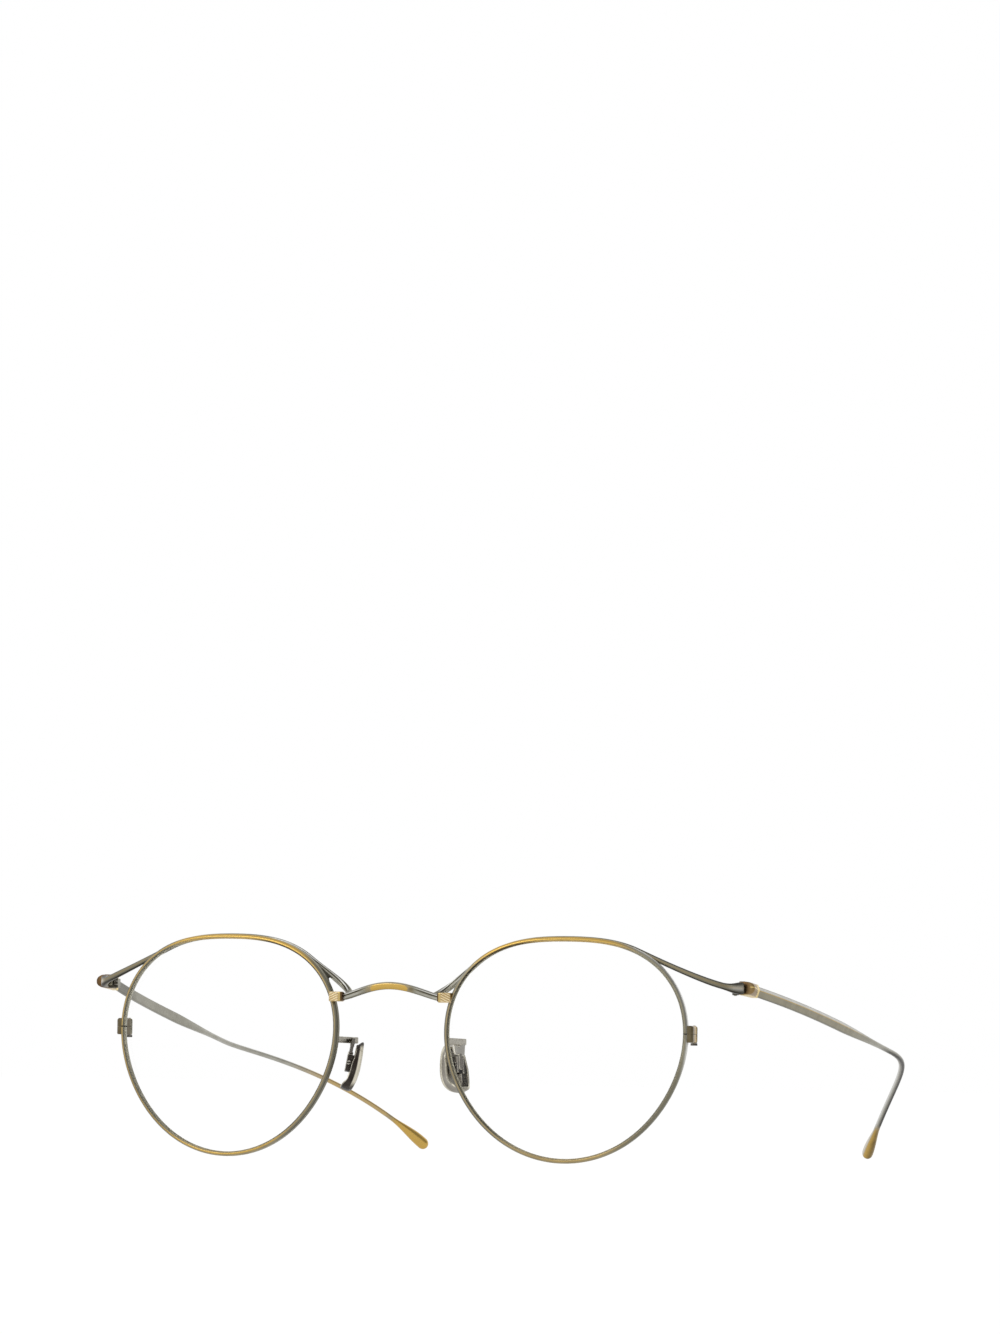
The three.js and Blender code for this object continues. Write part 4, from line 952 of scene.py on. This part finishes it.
def tray_pad(painted_shade):
    """A bowed tray with a round toe; the argument sets how much painted shade lies on its wall and in its tray.
    """
    toe, crest = ease(-upwards, 0.6, 1), ease(upwards, 0.3, 0.9)
    rings = []
    for inset, x in nose_face + wall + border + tray:
        belly = 1 - math.sqrt(max(0, 1 - (x / 0.76) ** 2)) if inset < 0.5 else 1
        cut_back = PAD_HEAD * crest * (ease(x, -0.4, 0.6) if inset < 0.5 else 1)
        rounded = inset + (PAD_TOE * toe * belly + cut_back) * (1 - ease(inset, 1, 2.2))
        y = (PAD_WIDTH / 2 - inset) * across * (1 - PAD_TAPER * upwards)
        z = (PAD_HEIGHT / 2 + PAD_UP - rounded) * upwards
        bow = np.where(z > 0, BOW_ABOVE, BOW_BELOW) * (2 * z / PAD_HEIGHT) ** 2
        lift = PAD_WALL * (1 - ease(upwards, -0.1, 0.45)) + PAD_BULB * ease(-upwards, 0.55, 1)
        rings.append(np.stack([x + bow + lift * ease(x, 0.1, 0.75), y, z + PAD_UP], -1))
    inside = (np.arange(len(rings)) >= len(rings) - len(tray))[:, None]
    # The lower half of the tray is left light, and painted shade darkens the wall's top and bottom ends.
    bowl = 1 - 0.9 * ease(-upwards, -0.3, 0.4) * inside
    shaded_ends = 0.9 * ease(np.abs(upwards), 0.6, 0.95) * span(np.arange(len(rings)), 3, 11, 0.5)[:, None]
    plating_and_shade = np.where(inside, 0.4 + 0.6 * painted_shade, painted_shade) * most(recess_shade * bowl, shaded_ends)
    return skin(np.stack(rings), cream, plating_and_shade).placed(PAD_TURN, PAD_AT)


pair("pad_plate_{}", (tray_pad(0.3), tray_pad(1.0)), satin_steel, "{}_pad", "steel", "nose_pad_{}")

# %% Clip and screw of the pad
PIN_RISE, LEG_OUT, TONGUE_WIDTH, TONGUE_THICKNESS = 0.6, 1.65, 0.9, 1.0
BOX_WALL, BOX_HEIGHT = 0.4, 3.2
PAD_PIN, PAD_PIN_HEAD, PAD_PIN_HEIGHT = 0.45, 0.85, 0.28
box_inside = TONGUE_WIDTH / 2 + PLAY
cheek = box_inside + BOX_WALL
box_floor, box_top = -0.21, LEG_OUT + TONGUE_THICKNESS / 2
box_low, box_high = PIN_RISE - BOX_HEIGHT / 2, PIN_RISE + BOX_HEIGHT / 2
channel = [(box_floor, -cheek), (box_floor, cheek), (box_top, cheek), (box_top, box_inside),
           (box_floor + BOX_WALL, box_inside), (box_floor + BOX_WALL, -box_inside), (box_top, -box_inside),
           (box_top, -cheek)]
channel = profile(channel, 0.12, 3, 3)
flanks = (np.abs(channel[:, 1]) > cheek - 0.05) * (channel[:, 0] < box_top - 0.1)


def pad_clip(painted_shade):
    """A clip with worn edges, and painted shade on the flanks of its cheeks."""
    box = slab(channel, box_low, box_high, 0.1, 0.9, 0.15 + (painted_shade - 0.15) * flanks)
    return box.placed(PAD_TURN, PAD_AT)


pair("pad_clip_{}", (pad_clip(0.3), pad_clip(0.85)), satin_steel, "{}_pad", "steel", "pad_box_{}")
LYING = np.array(Matrix.Rotation(math.pi / 2, 3, "X"))
small = screw(PAD_PIN, -cheek, cheek + HEAD_CLEAR, PAD_PIN_HEAD, PAD_PIN_HEIGHT, 0.2)
small = small.placed(LYING, (LEG_OUT, 0, PIN_RISE))
pair("pad_pin_{}", small.placed(PAD_TURN, PAD_AT), satin_steel, "{}_pad", "steel", "pad_screw_{}")

# %% [markdown]
# ## Pad arms
# A pad arm is a strip that runs straight back from the rim, turns round a hairpin, and comes forward
# again to a plate that hangs down into the clip. The strip is crimped with fine ribs, which keep it
# springy: each ring of its section is a little larger or smaller than the last. The plate is smooth.

# %% Ribbed arms
ARM_ANGLE, ARM_HEIGHT, ARM_THICKNESS = math.radians(178.8), 1.25, 0.5
ARM_REACH, ARM_FALL, ARM_BEND, ARM_CHAMFER = 9.9, 0.1, 0.9, 0.12
RIB_PITCH, RIB_DEPTH = 0.4, 0.13
PLATE_TOP_WIDTH, PLATE_WIDTH, PLATE_THICKNESS, PLATE_LAP = 3.3, 2.6, 0.6, 0.2


def in_pad(x, y, z):
    return PAD_TURN @ np.array([x, y, z]) + PAD_AT


root = rim_point(ARM_ANGLE, 0, 0)
hairpin = root + (0, ARM_REACH, -ARM_FALL)
leg_end = in_pad(LEG_OUT, 0, box_high + PLAY)
leg_rise = unit(in_pad(LEG_OUT, 0, 2 * PAD_HEIGHT) - leg_end)
leg_top = leg_end + leg_rise * (hairpin[2] - leg_end[2]) / leg_rise[2]
turn_end = np.array([leg_top[0], hairpin[1], hairpin[2]])
bulge = np.array([0, (root[0] - leg_top[0]) * 2 / 3, 0])
bend_start, bend_end = leg_top + (0, ARM_BEND, 0), leg_top - leg_rise * ARM_BEND
corner = bend_start + (leg_top - bend_start) * 2 / 3, bend_end + (leg_top - bend_end) * 2 / 3
strip = np.concatenate([
    np.linspace(root, hairpin, 60)[:-1], bezier(hairpin, hairpin + bulge, turn_end + bulge, turn_end)[:-1],
    np.linspace(turn_end, bend_start, 20)[:-1], bezier(bend_start, *corner, bend_end)[:-1],
    np.linspace(bend_end, leg_end, 20)])
leg_length = np.linalg.norm(bend_end - leg_end)
stations = np.arange(0.5, run(strip)[-1] - leg_length + 0.3, RIB_PITCH / 6)
rib = 0.5 + 0.5 * np.cos(2 * math.pi * stations / RIB_PITCH)
flat_bar = profile(eight_sided(ARM_THICKNESS, ARM_HEIGHT, ARM_CHAMFER), 0.1, 2, 2)
sections = flat_bar * (1 - RIB_DEPTH * (1 - rib))[:, None, None]
rings = carry(respaced(strip, stations), sections, carried=True)
arm = skin(rings, 0.7 * rib[:, None], 0.55 * (1 - rib)[:, None])
print("ribbed strip,", len(stations), "rings")

# %% Plates that hang in the clips
half, tongue_low, tongue_top = TONGUE_WIDTH / 2, PIN_RISE - 1, box_high + ARM_HEIGHT / 2
tongue = profile([(-half, tongue_low), (half, tongue_low), (half, tongue_top), (-half, tongue_top)], 0.25, 4, 2)
tongue = slab(tongue, LEG_OUT - TONGUE_THICKNESS / 2, LEG_OUT + TONGUE_THICKNESS / 2, 0.1, 0.8, 0.2)
low, high = box_high + PLATE_LAP, box_high + PLAY + np.linalg.norm(leg_top - leg_end) + PLATE_LAP
narrow, wide = PLATE_WIDTH / 2, PLATE_TOP_WIDTH / 2
hanger = profile([(-narrow, low), (narrow, low), (wide, high), (-wide, high)], 0.3, 4, 4)
PAD_FACE = PAD_TURN @ np.array([[0, 0, 1], [1, 0, 0], [0, 1, 0]])


def pad_arm(painted_shade, bare):
    """An arm whose plate is darkened with painted shade, or lightened with a painted highlight."""
    sheet = slab(hanger, LEG_OUT - PLATE_THICKNESS / 2, LEG_OUT + PLATE_THICKNESS / 2, 0.1, 0.8, painted_shade)
    sheet.marks[:, MARKS.index("bare")] = bare
    return arm + (tongue + sheet).placed(PAD_FACE, PAD_AT)


# The left plate gets a painted highlight, the right one painted shade.
pair("pad_arm_strip_{}", (pad_arm(0.0, 0.7), pad_arm(0.6, 0.0)), satin_steel, "front", "steel", "pad_arm_{}")

# %% [markdown]
# ## Floor and light
# The glasses stand on white, as in a catalogue. A bright lamp on a white sheet would bleach the metal,
# so the sheet glows by itself where it is looked at: by the camera, through a lens or in polished
# metal. It takes only a share of the shadow. The world behind it is plain white in the same way, and
# the rest of its light comes mostly from the front, as from one large soft panel beside the camera.

# %% Floor
FLOOR_HALF, FLOOR_DROP, FLOOR_SHADE = 6, 0.0002, (0.12, 0.12, 0.12, 1)
FLOOR_GLOW, FLOOR_SEEN, FLOOR_MIRRORED = 0.48, 0.45, 0.6
WHITE = (1, 1, 1, 1)


def looks(tree):
    """The rays that show a background: from the camera, through glass and off metal."""
    kinds = ("Camera", "Transmission", "Glossy")
    return [tree.node("ShaderNodeLightPath", {}, {}, f"Is {kind} Ray") for kind in kinds]


corners = [(FLOOR_HALF * x, FLOOR_HALF * y, -FLOOR_DROP) for x, y in ((-1, -1), (1, -1), (1, 1), (-1, 1))]
floor_mesh = bpy.data.meshes.new("floor")
floor_mesh.from_pydata(corners, [], [(0, 1, 2, 3)])
floor = bpy.data.objects.new("floor", floor_mesh)
bpy.context.collection.objects.link(floor)
floor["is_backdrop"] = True
white_floor = bpy.data.materials.new("white_floor")
tree = Tree(white_floor)
direct, through, mirrored = looks(tree)
seen = (direct + through + mirrored * FLOOR_MIRRORED).between(0, 1)
strength = seen * FLOOR_SEEN + FLOOR_GLOW
glow = tree.node("ShaderNodeEmission", {}, {"Color": WHITE, "Strength": strength})
matt = tree.node("ShaderNodeBsdfDiffuse", {}, {"Color": FLOOR_SHADE})
both = tree.node("ShaderNodeAddShader", {}, {0: matt, 1: glow})
tree.join(both, tree.nodes["Material Output"].inputs["Surface"])
floor_mesh.materials.append(white_floor)
print("floor", tuple(round(d, 1) for d in floor.dimensions))

# %% World and lamps
PANEL, BACKDROP = (-0.45, -0.8, 0.4), (-0.2, 0.98, 0)
DIM = 0.34
world = bpy.data.worlds.new("studio")
bpy.context.scene.world = world
tree = Tree(world)
direct, through, mirrored = looks(tree)
sky = tree.node("ShaderNodeTexCoord", {}, {}, "Generated")
towards, behind = (tree.node("ShaderNodeVectorMath", {"operation": "DOT_PRODUCT"}, {0: sky, 1: way}, "Value")
                   for way in (PANEL, BACKDROP))
level = towards.between(-0.35, 0.75) * (1 - DIM) + DIM
seen = (direct + through + mirrored * behind.between(0.2, 0.95)).between(0, 1)
tree.join(seen + (1 - seen) * level, tree.nodes["Background"].inputs["Strength"])
tree.nodes["Background"].inputs["Color"].default_value = WHITE


def lamp(name, place, aim, size, watts):
    data = bpy.data.lights.new(name, "AREA")
    data.energy, data.size = watts, size
    item = bpy.data.objects.new(name, data)
    item.location = place
    item.rotation_euler = (Vector(aim) - Vector(place)).to_track_quat("-Z", "Y").to_euler()
    bpy.context.collection.objects.link(item)


GLASSES_AT = (0, 0, 0.02)
lamp("front_panel", (-0.5, -0.9, 0.7), GLASSES_AT, 0.6, 2.5)
lamp("side_strip", (0.9, -0.3, 0.35), GLASSES_AT, 0.3, 0.3)

# %% [markdown]
# ## Camera
# The picture was taken from a little to the wearer's left, level with the frame, with a long lens. The
# camera is pitched up, which leaves the glasses low in the picture.

# %% Camera
AZIMUTH, ELEVATION, ROLL = math.radians(20.286), math.radians(-0.227), math.radians(0.971)
DISTANCE, FOCUS, IMAGE_HEIGHT, LOW, SENSOR = 1100, 5763.2, 1334, 383, 36
AIM = np.array([22.335, LENS_PLANE, 21.533])
flat = math.cos(ELEVATION)
away = np.array([math.sin(AZIMUTH) * flat, -math.cos(AZIMUTH) * flat, math.sin(ELEVATION)])
level = np.array([math.cos(AZIMUTH), math.sin(AZIMUTH), 0])
rise = np.cross(away, level)
level, rise = (level * math.cos(ROLL) + rise * math.sin(ROLL),
               rise * math.cos(ROLL) - level * math.sin(ROLL))
pitch = math.atan(LOW / FOCUS)
place = (AIM + away * DISTANCE) * 0.001
upright = rise * math.cos(pitch) + away * math.sin(pitch)
backwards = away * math.cos(pitch) - rise * math.sin(pitch)
view = Matrix(np.stack([level, upright, backwards], 1).tolist()).to_4x4()
view.translation = Vector(place)
camera = bpy.data.objects.new("camera", bpy.data.cameras.new("camera"))
camera.matrix_world = view
camera.data.sensor_width = SENSOR
camera.data.lens = FOCUS * math.cos(pitch) * SENSOR / IMAGE_HEIGHT
camera.data.clip_start, camera.data.clip_end = 0.05, 50
bpy.context.collection.objects.link(camera)
bpy.context.scene.camera = camera
bpy.context.scene.view_settings.view_transform = "Standard"
print("camera with a", round(camera.data.lens, 1), "mm lens")

# %% [markdown]
# ## Size and finish
# The skins must not make the glasses larger than the imported solids, so the growth of the box over
# the imported one is printed.

# %% Size
look_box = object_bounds()
grown = [round(1000 * float(b - a), 3) for a, b in zip(cad_box[1], look_box[1])]
print(len(made), "pieces; grown by", grown, "mm")
